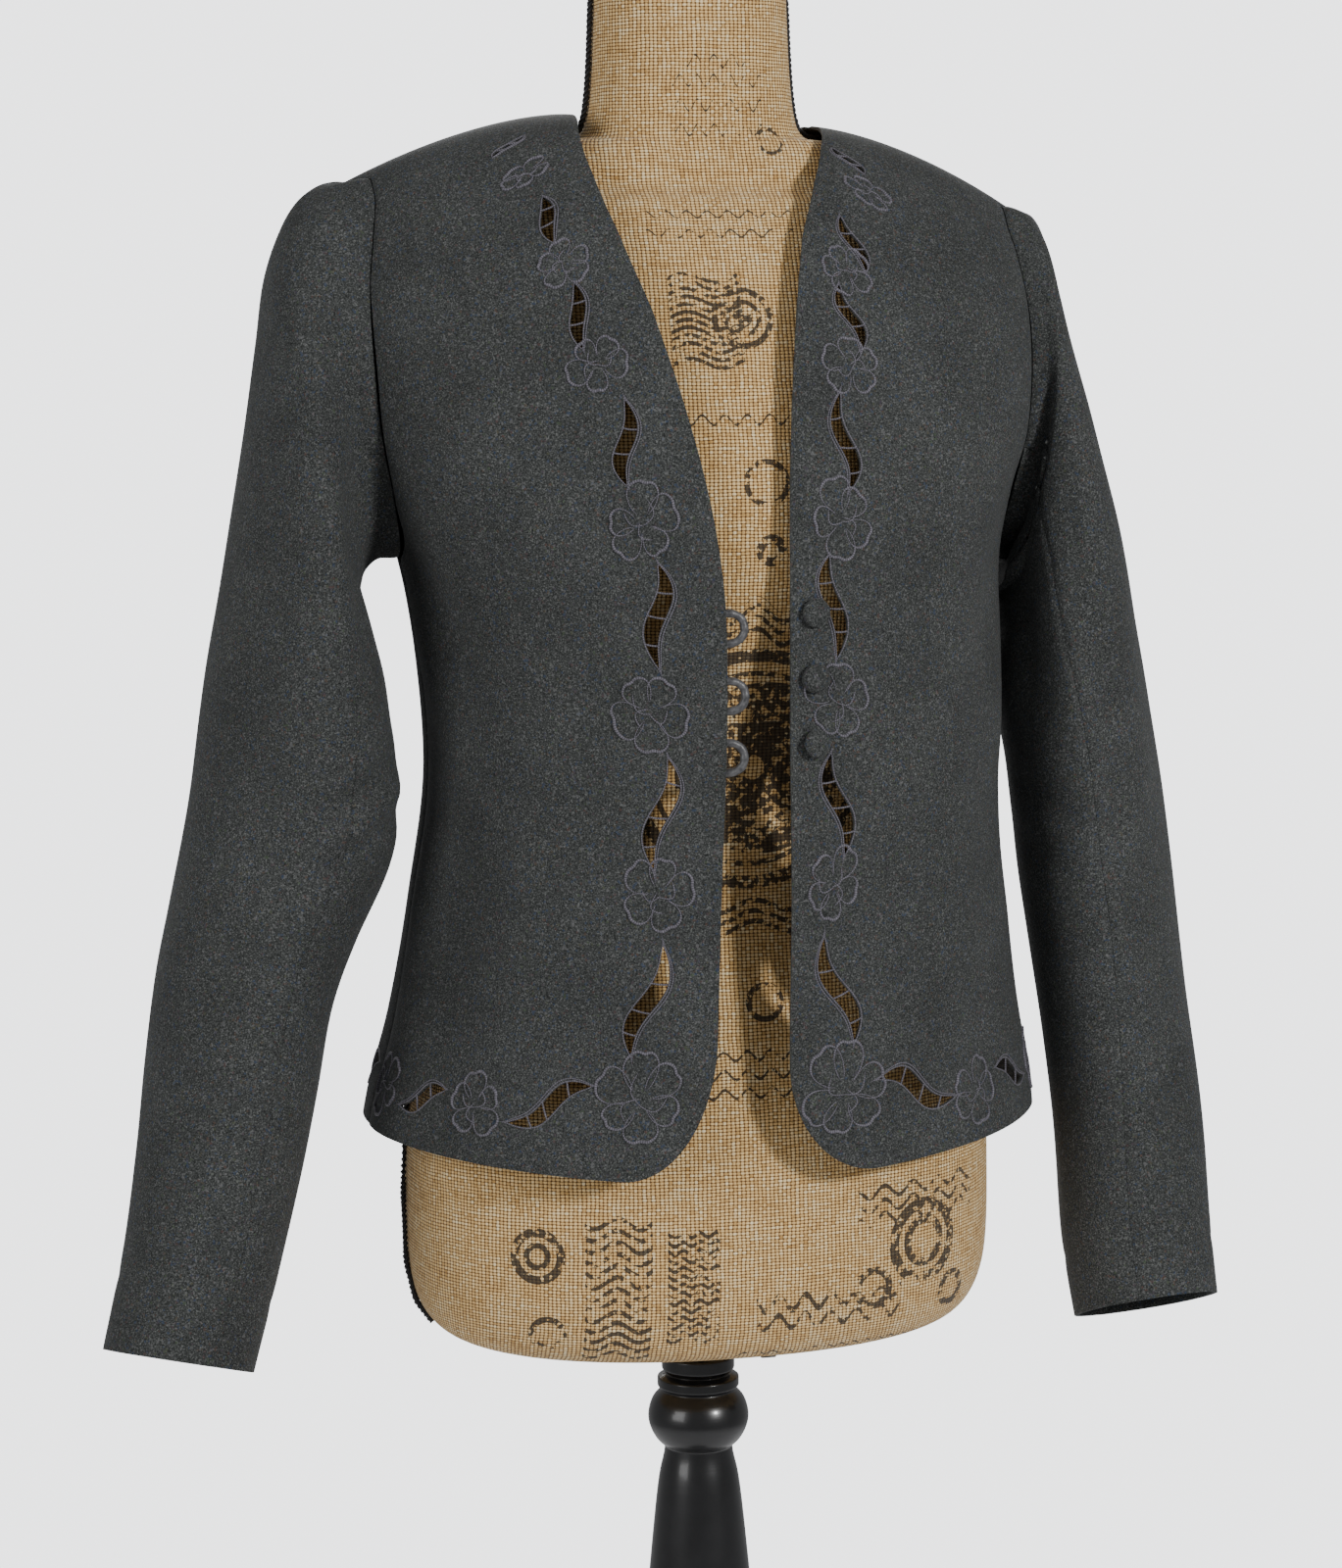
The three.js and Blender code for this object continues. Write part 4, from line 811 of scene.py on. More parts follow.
LEAVES = {
    # openings: middle as polar angle and level, size, tilt from upright and S bend, as cut
    "right": rows_of("angle level long wide tilt bend", [
        (66, 1369, 20, 5.5, 6, 0.06), (47.6, 1328, 33, 6.5, -26, 0.03), (37.6, 1278, 35, 7, -12, 0.04),
        (27, 1213, 43, 8, -1, 0.07), (22.1, 1127, 54, 9, 5, 0.07), (23.3, 1024, 58, 9.5, 7, 0.07),
        (25, 924, 60, 9.5, 14, 0.07), (42.5, 870, 48, 9, 64, -0.08), (69.1, 866, 34, 8.5, 66, -0.07),
    ]),
    "left": rows_of("angle level long wide tilt bend", [
        (51.5, 1363, 24, 5.5, -4, 0.05), (35.4, 1317, 33, 6.5, 2, 0.06), (28.5, 1278, 36, 7, 5, 0.08),
        (22.3, 1212, 50, 8, 0, 0.08), (16.3, 1130, 53, 9, 0, 0.06), (15.7, 1026, 54, 9, 9, 0.07),
        (16.7, 926, 60, 9.5, 18, 0.07), (35.6, 870, 54, 10, 73, -0.09), (64, 866, 38, 8.5, 72, -0.07),
    ]),
    "back": rows_of("angle level long wide tilt bend", [
        (97, 866, 42, 9, 68, -0.08), (127, 866, 46, 9, 68, -0.08), (161, 866, 48, 9, 68, -0.08),
    ]),
}


def leaf_curve(leaf, t, edge, spread=0.0, stretch=1.0):
    """Local u and v along one side of a leaf. spread moves it outward from the opening."""
    along = (t - 0.5) * leaf["long"] * stretch
    inside = np.clip((t - 0.5) * stretch + 0.5, 0, 1)
    across = -leaf["bend"] * leaf["long"] * np.sin(2 * math.pi * ((t - 0.5) * stretch + 0.5))
    across = across + edge * (leaf["wide"] / 2 * np.sin(math.pi * inside) ** 0.75 + spread)
    lean = math.radians(leaf["tilt"])
    return (along * math.sin(lean) + across * math.cos(lean),
            -along * math.cos(lean) + across * math.sin(lean))


def leaf_hole(side, leaf, steps=26):
    """Closed outline of a leaf as polar angles and rows."""
    t = (1 - np.cos(np.linspace(0, math.pi, steps))) / 2
    first, second = leaf_curve(leaf, t, 1), leaf_curve(leaf, t[::-1][1:-1], -1)
    u, v = (np.concatenate([a, b]) for a, b in zip(first, second))
    return torso_place(side, leaf["angle"], leaf["level"], u, v)


FLAT_WIDTH = 215.0      # mm for the whole share of a front, on the flat map
BACK_MIDDLE = 0.36      # share of each half of the back that lies below the neckline
FRONT_MESH = 3.4
BACK_MESH = 4.0
CLEAR_OF_EDGE = 1.4     # mm from an outline or a leaf's opening to the nearest inner point
CLEAR_OF_HOLE = 1.0
CUT_EDGE_EASING = 0.45


def flat_height(row):
    """Height on the flat map: the length up the cloth."""
    line = torso(1, np.full(FINE_ROWS.shape, 0.6), FINE_ROWS)
    climb = np.concatenate([[0], np.cumsum(np.linalg.norm(np.diff(line[:, 1:], axis=0), axis=1))])
    return np.interp(row, FINE_ROWS, climb)


def row_of_flat(height):
    """The row at a height on the flat map."""
    return np.interp(height, flat_height(FINE_ROWS), FINE_ROWS)


def on_flat(share, row):
    """Places on the flat map in mm, at shares of a panel's width and rows."""
    return np.stack([share * FLAT_WIDTH, flat_height(row)], axis=1)


def joined_edges(*stretches):
    """An outline on the flat map from its stretches, each a pair of shares and rows."""
    ends = [np.broadcast_arrays(*stretch) for stretch in stretches]
    return on_flat(*(np.concatenate(part).astype(float) for part in zip(*ends)))


def front_angle(side, share, row):
    """Share 0 is the open edge and 1 the side seam."""
    edge = front_edge_angle(side, row)
    return edge + share * (side_angle(row, "front") - edge)


def back_angle(share, row):
    """Share 0 is the middle of the back and 1 the side seam."""
    inner = BACK_MIDDLE
    at_neck = angle_across(NECK_X * np.minimum(share / inner, 1), row, "back")
    outer = np.clip((share - inner) / (1 - inner), 0, 1)
    return at_neck + outer * (side_angle(row, "back") - at_neck)


def inside_loop(loop, spots):
    """Which spots lie within a closed loop."""
    ends = np.roll(loop, -1, axis=0)
    x, y = spots[:, :1], spots[:, 1:]
    crosses = (loop[:, 1] > y) != (ends[:, 1] > y)
    rise = np.where(ends[:, 1] == loop[:, 1], 1e-9, ends[:, 1] - loop[:, 1])
    hit = crosses & (x < (ends[:, 0] - loop[:, 0]) * (y - loop[:, 1]) / rise + loop[:, 0])
    return hit.sum(axis=1) % 2 == 1


def distance_to_loop(loop, spots):
    """How far each spot is from a closed loop."""
    run = np.roll(loop, -1, axis=0) - loop
    x, y = spots[:, :1] - loop[:, 0], spots[:, 1:] - loop[:, 1]
    share = np.clip((x * run[:, 0] + y * run[:, 1]) / (run**2).sum(axis=1), 0, 1)
    return np.hypot(x - share * run[:, 0], y - share * run[:, 1]).min(axis=1)


def triangulated(outline, holes, spacing):
    """Triangles of a flat outline with holes, over a lattice of inner points."""
    low, high = outline.min(axis=0), outline.max(axis=0)
    lattice = []
    for i, y in enumerate(np.arange(low[1], high[1], spacing * 0.87)):
        xs = np.arange(low[0] + (i % 2) * spacing / 2, high[0], spacing)
        lattice.append(np.stack([xs, np.full(xs.shape, y)], axis=1))
    lattice = np.concatenate(lattice)
    kept = inside_loop(outline, lattice) & (distance_to_loop(outline, lattice) > CLEAR_OF_EDGE)
    for hole in holes:
        kept &= ~inside_loop(hole, lattice) & (distance_to_loop(hole, lattice) > CLEAR_OF_HOLE)
    loops = [outline] + holes
    points = np.concatenate(loops + [lattice[kept]])
    edges, start = [], 0
    for loop in loops:
        count = len(loop)
        edges += [(start + k, start + (k + 1) % count) for k in range(count)]
        start += count
    flat, _, faces, *_ = delaunay_2d_cdt(points.tolist(), edges, [], 1, 1e-5)
    flat = np.array([tuple(p) for p in flat])
    faces = np.array(faces)
    middles = flat[faces].mean(axis=1)
    cloth = np.ones(len(faces), bool)
    for hole in holes:
        cloth &= ~inside_loop(hole, middles)
    return flat, faces[cloth]


def cloth_piece(name, points, outward, faces, thickness, nodes):
    """A wall of wool: the outer skin, its inner copy and the cut edges, eased a little."""
    points, faces = np.asarray(points, float), np.asarray(faces)
    triangle = points[faces]
    facing = np.cross(triangle[:, 1] - triangle[:, 0], triangle[:, 2] - triangle[:, 0])
    wrong = (facing * outward[faces].mean(axis=1)).sum(axis=1) < 0
    faces[wrong] = faces[wrong][:, ::-1]
    count = len(points)
    inner = points - outward * np.broadcast_to(thickness, (count,))[:, None]
    used = {}
    for face in faces.tolist():
        for a, b in zip(face, face[1:] + face[:1]):
            used[(a, b)] = used.get((a, b), 0) + 1
    rim = [(a, b) for a, b in used if (b, a) not in used]
    walls = [(b, a, a + count, b + count) for a, b in rim]
    skin = [tuple(f) for f in faces.tolist()]
    under = [tuple(v + count for v in reversed(f)) for f in skin]
    piece = new_piece(name, np.concatenate([points, inner]), skin + under + walls, WOOL, nodes)
    ease_edges(piece, CUT_EDGE_EASING, sharper_than=50)


# Heathered wool flannel: charcoal, grey and pale fibres spun together and milled, with odd
# bluish, brownish and greenish specks and a short brushed nap. The fibres' tufts are drawn
# coarser than real ones, which would be too fine to show.
def wool_colour(tree, place):
    """The fibres' height and the heather's colour."""
    melange = add_node(tree, "TexNoise", Vector=place, Scale=1250.0, Detail=3.0, Roughness=0.62)
    blend = add_node(
        tree, "ValToRGB", Fac=melange.outputs["Fac"],
        stops=((0.30, "#161817"), (0.43, "#303231"), (0.57, "#474948"), (0.72, "#7a7c7a")),
    )
    specks = add_node(tree, "TexVoronoi", Vector=place, Scale=900.0)
    chance = add_node(tree, "SeparateColor", Color=specks.outputs["Color"]).outputs
    pale = add_node(tree, "Math GREATER_THAN", chance["Red"], 0.955)
    tinted = add_node(tree, "Math GREATER_THAN", chance["Green"], 0.90)
    hue = add_node(
        tree, "ValToRGB", Fac=chance["Blue"],
        stops=((0.3, "#33425a"), (0.65, "#5a4038"), (0.95, "#46543f")),
    )
    for share, strength, colour in ((tinted, 0.55, hue), (pale, 0.45, linear("#6f6f70"))):
        share = add_node(tree, "Math MULTIPLY", share, strength)
        blend = add_node(
            tree, "Mix", settings={"data_type": "RGBA"}, _0=share, _6=blend, _7=colour
        ).outputs[2]
    cloudy = add_node(tree, "TexNoise", Vector=place, Scale=22.0, Detail=4.0).outputs["Fac"]
    worn = add_node(tree, "ValToRGB", Fac=cloudy, stops=((0.3, "#e0e0e0"), (0.7, "#ffffff")))
    clouded = add_node(
        tree, "Mix", settings={"data_type": "RGBA", "blend_type": "MULTIPLY"}, _0=1.0, _6=blend, _7=worn
    )
    return melange.outputs["Fac"], clouded.outputs[2]


WOOL, tree, surface = new_finish(
    "charcoal_heathered_wool_flannel", Roughness=0.95, Sheen_Weight=0.12, Sheen_Roughness=0.4,
    Specular_IOR_Level=0.25,
)
place = add_node(tree, "TexCoord").outputs["Object"]
fibres, colour = wool_colour(tree, place)
tree.links.new(colour, surface.inputs["Base Color"])
surface.inputs["Sheen Tint"].default_value = linear("#c4c6c6")
add_node(tree, "Bump", Height=fibres, Strength=0.45, Distance=0.0005, to=surface.inputs["Normal"])


def front_outline(side):
    """The front's cut edge on the flat map: share times FLAT_WIDTH, and flat height."""
    hem_row = row_at(SIDE_HEM_Z - HEM_DROP["front"])
    shares = np.linspace(0, 1, 600)
    at_hem = torso(side, front_angle(side, shares, hem_row), hem_row)
    away = np.linalg.norm(at_hem - at_hem[0], axis=1)
    turn = np.linspace(math.pi / 2, 0, 26)
    corner = np.interp(CORNER_WIDTH * (1 - np.sin(turn)), away, shares)
    rest = np.linspace(corner[-1], 1, 75)[1:]
    share = np.concatenate([corner, rest])
    lift = np.concatenate([CORNER_HEIGHT[side] * (1 - np.cos(turn)), 0 * rest])
    bottom = row_at(hem_level(front_angle(side, share, hem_row), "front") + lift)
    up = row_of_flat(np.linspace(flat_height(bottom[-1]), flat_height(TOP), 220))
    over = np.linspace(1, 0, 90)
    down = row_of_flat(np.linspace(flat_height(TOP), flat_height(bottom[0]), 210))
    return joined_edges((share, bottom), (1, up[1:-1]), (over, TOP), (0, down[1:-1]))


def make_front(side, word):
    """A front with its cut leaves, laid out flat and then draped."""
    holes = []
    for leaf in LEAVES[word]:
        angle, row = leaf_hole(side, leaf)
        edge = front_edge_angle(side, row)
        share = (angle - edge) / (side_angle(row, "front") - edge)
        holes.append(on_flat(share, row))
    flat, faces = triangulated(front_outline(side), holes, FRONT_MESH)
    share, row = flat[:, 0] / FLAT_WIDTH, row_of_flat(flat[:, 1])
    angle = front_angle(side, share, row)
    gap = np.minimum((1 - share) * FLAT_WIDTH, flat_height(TOP) - flat[:, 1])
    points, outward = draped(side, angle, row, seam_gap=gap)
    cloth_piece(
        f"jacket_front_{word}", points, outward, faces, CLOTH, [f"front_{word}"]
    )


def back_outline():
    """The back's cut edge on the flat map, side share running from -1 to 1."""
    shares = np.linspace(1, -1, 160)
    hem = row_at(hem_level(back_angle(np.abs(shares), row_at(SIDE_HEM_Z)), "back"))
    up = row_of_flat(np.linspace(flat_height(hem[-1]), flat_height(TOP), 220))[1:]
    over = np.linspace(-1, -BACK_MIDDLE, 60)[1:-1]
    turns = np.linspace(-math.pi / 2, math.pi / 2, 60)
    neck = []
    for turn in turns:
        rows = np.linspace(row_at(1300), TOP, 900)
        angle = angle_across(NECK_X * abs(math.sin(turn)), rows, "back")
        depth = torso(1, angle, rows)[:, 1]
        neck.append(rows[np.argmin(np.abs(depth - BACK_NECK * math.cos(turn)))])
    neck = np.array(neck)
    neck[[0, -1]] = TOP
    return joined_edges(
        (shares, hem), (-1, up), (over, TOP), (BACK_MIDDLE * np.sin(turns), neck),
        (-over[::-1], TOP), (1, up[:0:-1]),
    )


def make_back():
    """The back with its cut leaves, laid out flat and then draped."""
    holes = []
    for side in (-1, 1):
        for leaf in LEAVES["back"]:
            angle, row = leaf_hole(side, leaf)
            shares = np.linspace(-0.05, 1, 400)
            share = [
                np.interp(a, back_angle(shares, r)[::-1], shares[::-1])
                for a, r in zip(angle, row)
            ]
            holes.append(on_flat(side * np.array(share), row))
    flat, faces = triangulated(back_outline(), holes, BACK_MESH)
    share, row = flat[:, 0] / FLAT_WIDTH, row_of_flat(flat[:, 1])
    side = np.where(share < 0, -1.0, 1.0)
    gap = np.minimum((1 - np.abs(share)) * FLAT_WIDTH, flat_height(TOP) - flat[:, 1])
    points, outward = draped(side, back_angle(np.abs(share), row), row, seam_gap=gap)
    cloth_piece("jacket_back", points, outward, faces, CLOTH, ["back"])


make_front(-1, "right")
make_front(1, "left")
make_back()

# ------------------------------------------------------------------ jacket's sleeves
# Two-piece set-in sleeves of the same flannel, eased into the armholes and a little full at
# the head. Their hems are turned up and felled. They hang bent slightly forward.
SLEEVES = {
    # rings from the armhole to the cuff: middle (x outward), half sizes across and front to
    # back, tips of the ring in degrees and its share over the armhole's own outline
    "right": rows_of("x y z narrow broad lean pitch turn cap", [
        (188, 0, 1249, 98.5, 52, 81.5, 0, 0, 0.35), (198, 0, 1240, 98.5, 56, 80, 0, 0, 0.75),
        (204, 0, 1229, 95, 62, 78, 0, 0, 1), (208, -1, 1213, 89, 67, 75, 0, 0, 1),
        (209, -2, 1191, 79, 71, 70, 0, 1, 1), (210.5, -3, 1164, 69, 74, 62, 0, 2, 1),
        (212, -3, 1134, 61, 76, 51, 0, 5, 1), (214.5, -2, 1100, 54, 76, 37, 0, 9, 1),
        (217.5, 0, 1064, 51.5, 74, 22, 0, 14, 1), (220, 3, 1026, 52.5, 71, 12, 1, 20, 1),
        (226.5, 3, 992, 53, 69, 11, 4, 20, 1), (240.5, -4, 954, 48.5, 66, 14, 8, 17, 1),
        (252.5, -13, 918, 46.5, 62, 15, 12, 14, 1), (262, -26, 874, 46, 57, 15, 14, 14, 1),
        (271, -39, 829, 44, 52, 15, 15, 14, 1), (282.5, -55, 782, 41.5, 46, 15, 15, 10, 1),
        (297, -71, 734, 40, 41, 13, 14, 2, 1),
    ]),
    "left": rows_of("x y z narrow broad lean pitch turn cap", [
        (181, 0, 1237, 95, 52, 84.5, 0, 0, 0.35), (185, 0, 1227.5, 94.5, 56, 83, 0, 0, 0.75),
        (187, 0, 1213, 91, 61, 81, 0, 0, 1), (190, -1, 1195.5, 83.5, 66, 78, 0, 0, 1),
        (194.5, -2, 1174, 74.5, 70, 73, 0, 1, 1), (199, -3, 1148, 63.5, 73, 64, 0, 2, 1),
        (205.5, -3, 1119, 55, 74, 52, 0, 6, 1), (213.5, -2, 1086, 47.5, 75, 38, 0, 12, 1),
        (221.5, 0, 1052, 44, 75, 24, 0, 18, 1), (229, 3, 1012, 43, 74, 12, 1, 25, 1),
        (234, 3, 974, 42.5, 72, 7, 4, 28, 1), (238, -3, 934, 41.5, 68, 5, 9, 30, 1),
        (240, -14, 894, 41.5, 62, 3, 13, 30, 1), (241, -27, 852, 42, 56, 1, 16, 29, 1),
        (240.5, -41, 812, 42, 50, 0, 18, 25, 1), (239.5, -56, 770, 41.5, 45, 2, 20, 12, 1),
        (241, -70, 728, 40, 41, 4, 21, 0, 1),
    ]),
}
SLEEVE_ROWS = 17
SLEEVE_COLUMNS = 22     # counted round the armhole from the shoulder, forward first
FRONT_SEAM = 7
BACK_SEAM = 15
HEAD_STEP = 9
SEAM_TO_SLEEVE = 0.08
COLUMN_ARC = 18         # mm round the sleeve for one column, and along it for one row
ROW_LENGTH = 37
HEM_FROM = 16.25        # row at which the turned-up hem begins
HEM_THICKNESS = 3.0
HEM_STITCH_DIP = 0.45   # groove where the hem is felled, and its width in rows
HEM_STITCH_ROWS = 1 / 15
SLEEVE_SEAM_DIP = 0.75
ARMHOLE_DIP = 0.6
ARMHOLE_DIP_WIDTH = 5.0
HEAD_RIPPLE = 0.5       # height of the ripples where the sleeve's head is eased in
SLEEVE_FOLDS = {
    # troughs (deep above 0) and ridges: from and to as column and row, width and depth in mm
    "right": rows_of("j0 r0 j1 r1 wide deep", [
        (7.9, 1.6, 7.5, 7.4, 13, 3.0), (6.1, 2.2, 6.0, 7.0, 13, -1.8), (9.2, 9.0, 5.9, 10.3, 9, 4.0),
        (9.6, 9.9, 6.6, 11.0, 8, 3.2), (9.4, 9.5, 6.2, 10.7, 7, -2.0), (3.4, 3.0, 3.0, 9.0, 22, 1.5),
        (4.6, 10.5, 3.6, 15.5, 20, 1.4), (0.4, 8.5, 1.2, 13.5, 24, -1.5),
        (-4.2, 2.5, -4.6, 8.5, 16, 2.4), (-2.6, 9.3, -6.2, 10.4, 12, 1.6),
        (-5.6, 11.5, -5.0, 16.0, 18, 1.5), (13.6, 2.5, 13.2, 7.5, 14, 2.6),
        (12.4, 9.2, 9.6, 10.2, 9, 2.0), (12.0, 11.5, 11.4, 15.5, 16, 1.2),
    ]),
    "left": rows_of("j0 r0 j1 r1 wide deep", [
        (9.0, 1.8, 8.6, 7.8, 12, 3.2), (7.2, 2.6, 7.0, 8.6, 12, -1.8), (5.6, 4.2, 6.0, 11.0, 13, 2.0),
        (10.0, 9.3, 7.4, 10.3, 9, 2.2), (10.4, 10.3, 7.9, 11.1, 8, 1.7),
        (3.4, 3.4, 3.8, 10.0, 22, -1.5), (4.2, 11.2, 4.6, 15.6, 18, 1.3),
        (0.0, 9.0, 0.8, 14.0, 24, 1.2), (-3.8, 2.2, -4.4, 8.2, 16, 2.2),
        (-2.4, 9.6, -6.0, 10.8, 12, 1.8), (-5.2, 12.0, -5.6, 16.2, 18, 1.4),
        (13.4, 2.8, 13.0, 8.0, 14, 2.4), (12.2, 12.0, 11.6, 16.0, 16, 1.3),
    ]),
}


def armhole_point(side, place):
    """The armhole's seam at a column place from the shoulder, down the front and up the back."""
    place = np.mod(place, SLEEVE_COLUMNS)
    half = SLEEVE_COLUMNS / 2
    ahead = place <= half
    share = np.where(ahead, 1 - place / half, place / half - 1)
    row = armhole_row(share)
    gap = SEAM / 2 / column(TORSO, "half", row)
    angle = np.where(ahead, side_angle(row, "front") + gap, side_angle(row, "back") - gap)
    point = torso(side, angle, row)
    point[..., 1] = np.where(row > TOP - 1e-3, 0, point[..., 1])
    return point


def sleeve_ring(side, rings, theta, row):
    """Points of a sleeve's tilted oval rings at angles round them and fractional rows."""
    get = {name: column(rings, name, row - 1) for name in rings[0]}
    lean, pitch, turn = (np.radians(get[name]) for name in ("lean", "pitch", "turn"))
    polar = np.arctan2(get["broad"] * np.sin(theta), get["narrow"] * np.cos(theta))
    reach = 1 / np.hypot(np.cos(polar - turn) / get["narrow"], np.sin(polar - turn) / get["broad"])
    outward, forward = reach * np.cos(polar), reach * np.sin(polar)
    x = side * get["x"] + outward * side * np.cos(lean)
    y = get["y"] - forward * np.cos(pitch)
    z = get["z"] + outward * np.sin(lean) + forward * np.sin(pitch)
    return np.stack(np.broadcast_arrays(x, y, z), axis=-1)


def sleeve_skin(side, rings, place, row):
    """Points of the unfolded sleeve at column places and rows, row 0 being the armhole."""
    theta = 2 * math.pi * place / SLEEVE_COLUMNS
    seam = armhole_point(side, place)
    step = armhole_point(side, place + 0.05) - armhole_point(side, place - 0.05)
    out = np.cross(step, np.cross(step, np.array([1.0, 0, 0]) * side))
    seam = seam - unit(out) * SEAM_TO_SLEEVE
    below = np.maximum(row, 1)
    share = np.minimum(column(rings, "cap", below - 1), 1)
    share = np.where(row < 1, rings[0]["cap"] * row, share)
    start = seam + np.stack(np.broadcast_arrays(side * HEAD_STEP * row, 0, 0), axis=-1)
    ring = sleeve_ring(side, rings, theta, below)
    return start + (ring - start) * share[..., None]


def folded_sleeve(side, word, place, row, first, last):
    """Points and outward directions of one of a sleeve's pieces, with folds and seam dips."""
    rings = SLEEVES[word]
    place, row = np.broadcast_arrays(place, row)
    point = sleeve_skin(side, rings, place, row)
    step = 0.02
    across = sleeve_skin(side, rings, place + step, row) - sleeve_skin(side, rings, place - step, row)
    below = np.minimum(row + step, SLEEVE_ROWS)
    above = np.maximum(row - step, 0)
    along = sleeve_skin(side, rings, place, below) - sleeve_skin(side, rings, place, above)
    out = np.cross(across, along)
    opposite = sleeve_skin(side, rings, place + SLEEVE_COLUMNS / 2, row)
    out = led_outward(out, point - opposite)
    x, y = place * COLUMN_ARC, row * ROW_LENGTH
    depth = np.zeros(place.shape)
    for fold in SLEEVE_FOLDS[word]:
        start = (fold["j0"] * COLUMN_ARC, fold["r0"] * ROW_LENGTH)
        end = (fold["j1"] * COLUMN_ARC, fold["r1"] * ROW_LENGTH)
        depth += fold["deep"] * soft_trough(x, y, *start, *end, fold["wide"])
    depth += 0.7 * np.sin(x / 23 + y / 61 + side) * np.sin(y / 37 - x / 49)
    seam_gap = np.minimum(place - first, last - place) * COLUMN_ARC
    pucker = 0.85 + 0.35 * np.sin(y / 4.1) * np.sin(y / 13.7 + side)
    depth += SLEEVE_SEAM_DIP * pucker * np.exp(-((seam_gap / SEAM_DIP_WIDTH) ** 2))
    depth += ARMHOLE_DIP * np.exp(-((y / ARMHOLE_DIP_WIDTH) ** 2))
    on_top = np.clip(np.cos(2 * math.pi * place / SLEEVE_COLUMNS), 0, 1)
    depth += HEAD_RIPPLE * np.sin(x / 4.6) * np.exp(-((y - 16) / 13) ** 2) * on_top
    depth += HEM_STITCH_DIP * np.exp(-(((row - HEM_FROM) / HEM_STITCH_ROWS) ** 2))
    return point - out * depth[..., None], out


def make_sleeve_piece(side, word, kind, first, last):
    """The upper or the under piece of a sleeve, between two of its seams."""
    near_edge = np.array([0, 0.05, 0.11, 0.18, 0.27, 0.38])
    inner = np.arange(first + 0.56, last - 0.5, 0.19)
    place = np.concatenate([first + near_edge, inner, last - near_edge[::-1]])
    place[0] += 0.003
    place[-1] -= 0.003
    head = np.array([0, 0.08, 0.17, 0.28, 0.4])
    hem = np.array([HEM_FROM - 0.06, HEM_FROM - 0.02, HEM_FROM + 0.02, HEM_FROM + 0.06])
    row = np.unique(np.concatenate([head, np.arange(0.55, HEM_FROM - 0.1, 0.16), hem,
                                    np.linspace(HEM_FROM + 0.15, SLEEVE_ROWS, 6)]))
    points, outward = folded_sleeve(side, word, place[None, :], row[:, None], first, last)
    thick = CLOTH + (HEM_THICKNESS - CLOTH) * np.clip((row - HEM_FROM + 0.03) / 0.06, 0, 1)
    thick = np.repeat(thick, len(place))
    n = len(place)
    i, j = np.meshgrid(np.arange(len(row) - 1), np.arange(n - 1), indexing="ij")
    start = (i * n + j).ravel()
    faces = np.stack([start, start + 1, start + n + 1, start + n], axis=1)
    cloth_piece(
        f"jacket_sleeve_{kind}_{word}", points.reshape(-1, 3), outward.reshape(-1, 3), faces, thick,
        [f"sleeve_{kind}_{word}"],
    )


for side, word in ((-1, "right"), (1, "left")):
    make_sleeve_piece(side, word, "upper", BACK_SEAM - SLEEVE_COLUMNS, FRONT_SEAM)
    make_sleeve_piece(side, word, "under", FRONT_SEAM, BACK_SEAM)

# ------------------------------------------------------------------ border embroidery
# Flowers and leaves outlined in raised satin stitch over a cord, in a lilac-grey thread a
# little lighter than the wool. Fine thread bars are worked across the cut leaves.
FLOWERS = {
    # middle as polar angle and level, width, turn of the first petal, share of the width
    # across, and the number of petals
    "right": rows_of("angle level wide turn slim petals", [
        (56.8, 1353, 26, 20, 0.86, 5), (41.9, 1305, 30, 74, 0.92, 5), (32.9, 1254, 34, 48, 0.95, 5),
        (24, 1173, 40, 12, 0.96, 5), (25.3, 1076, 45, 58, 0.92, 5), (23.5, 981, 43, 30, 0.9, 5),
        (25.3, 873, 49, 80, 1.0, 6), (57.1, 867, 36, 15, 0.92, 5), (80.7, 867, 37, 62, 0.9, 5),
    ]),
    "left": rows_of("angle level wide turn slim petals", [
        (47.1, 1346, 26, 66, 0.85, 5), (31, 1303, 29, 24, 0.9, 5), (25.9, 1252, 34, 84, 0.94, 5),
        (20.1, 1173, 40, 40, 0.95, 5), (16.2, 1079, 42, 8, 0.88, 5), (14.8, 983, 42, 52, 0.78, 5),
        (18.7, 873, 49, 18, 1.0, 6), (50.7, 862, 37, 70, 0.94, 5), (77, 866, 36, 34, 0.88, 5),
    ]),
    "back": rows_of("angle level wide turn slim petals", [
        (111, 866, 38, 26, 0.92, 5), (144, 866, 38, 72, 0.94, 5),
    ]),
}
MIDDLE_BACK_FLOWER = {"angle": 180, "level": 866, "wide": 40, "turn": 10, "slim": 1.0, "petals": 6}
CORD_WIDTH = 0.85       # half of the satin cord's width where it is thickest, mm
CORD_HEIGHT = 0.95      # and half of its height there
BAR_SHARE = 0.55        # thickness of a thread bar, as a share of the cord's


def stitched(side, place, u, v, share, lift=0.15):
    """A line of stitching on the cloth from local u and v in mm."""
    angle, row = torso_place(side, place["angle"], place["level"], u, v)
    points, outward = draped(side, angle, row, lift=lift)
    return {"points": points, "outward": outward, "share": np.broadcast_to(share, (len(points),))}


def petal_line(side, flower, along, across, lean, share):
    """A line of stitching that runs along and across a petal's own axis."""
    u = (along * math.cos(lean) - across * math.sin(lean)) * flower["slim"]
    v = along * math.sin(lean) + across * math.cos(lean)
    return stitched(side, flower, u, v, share)


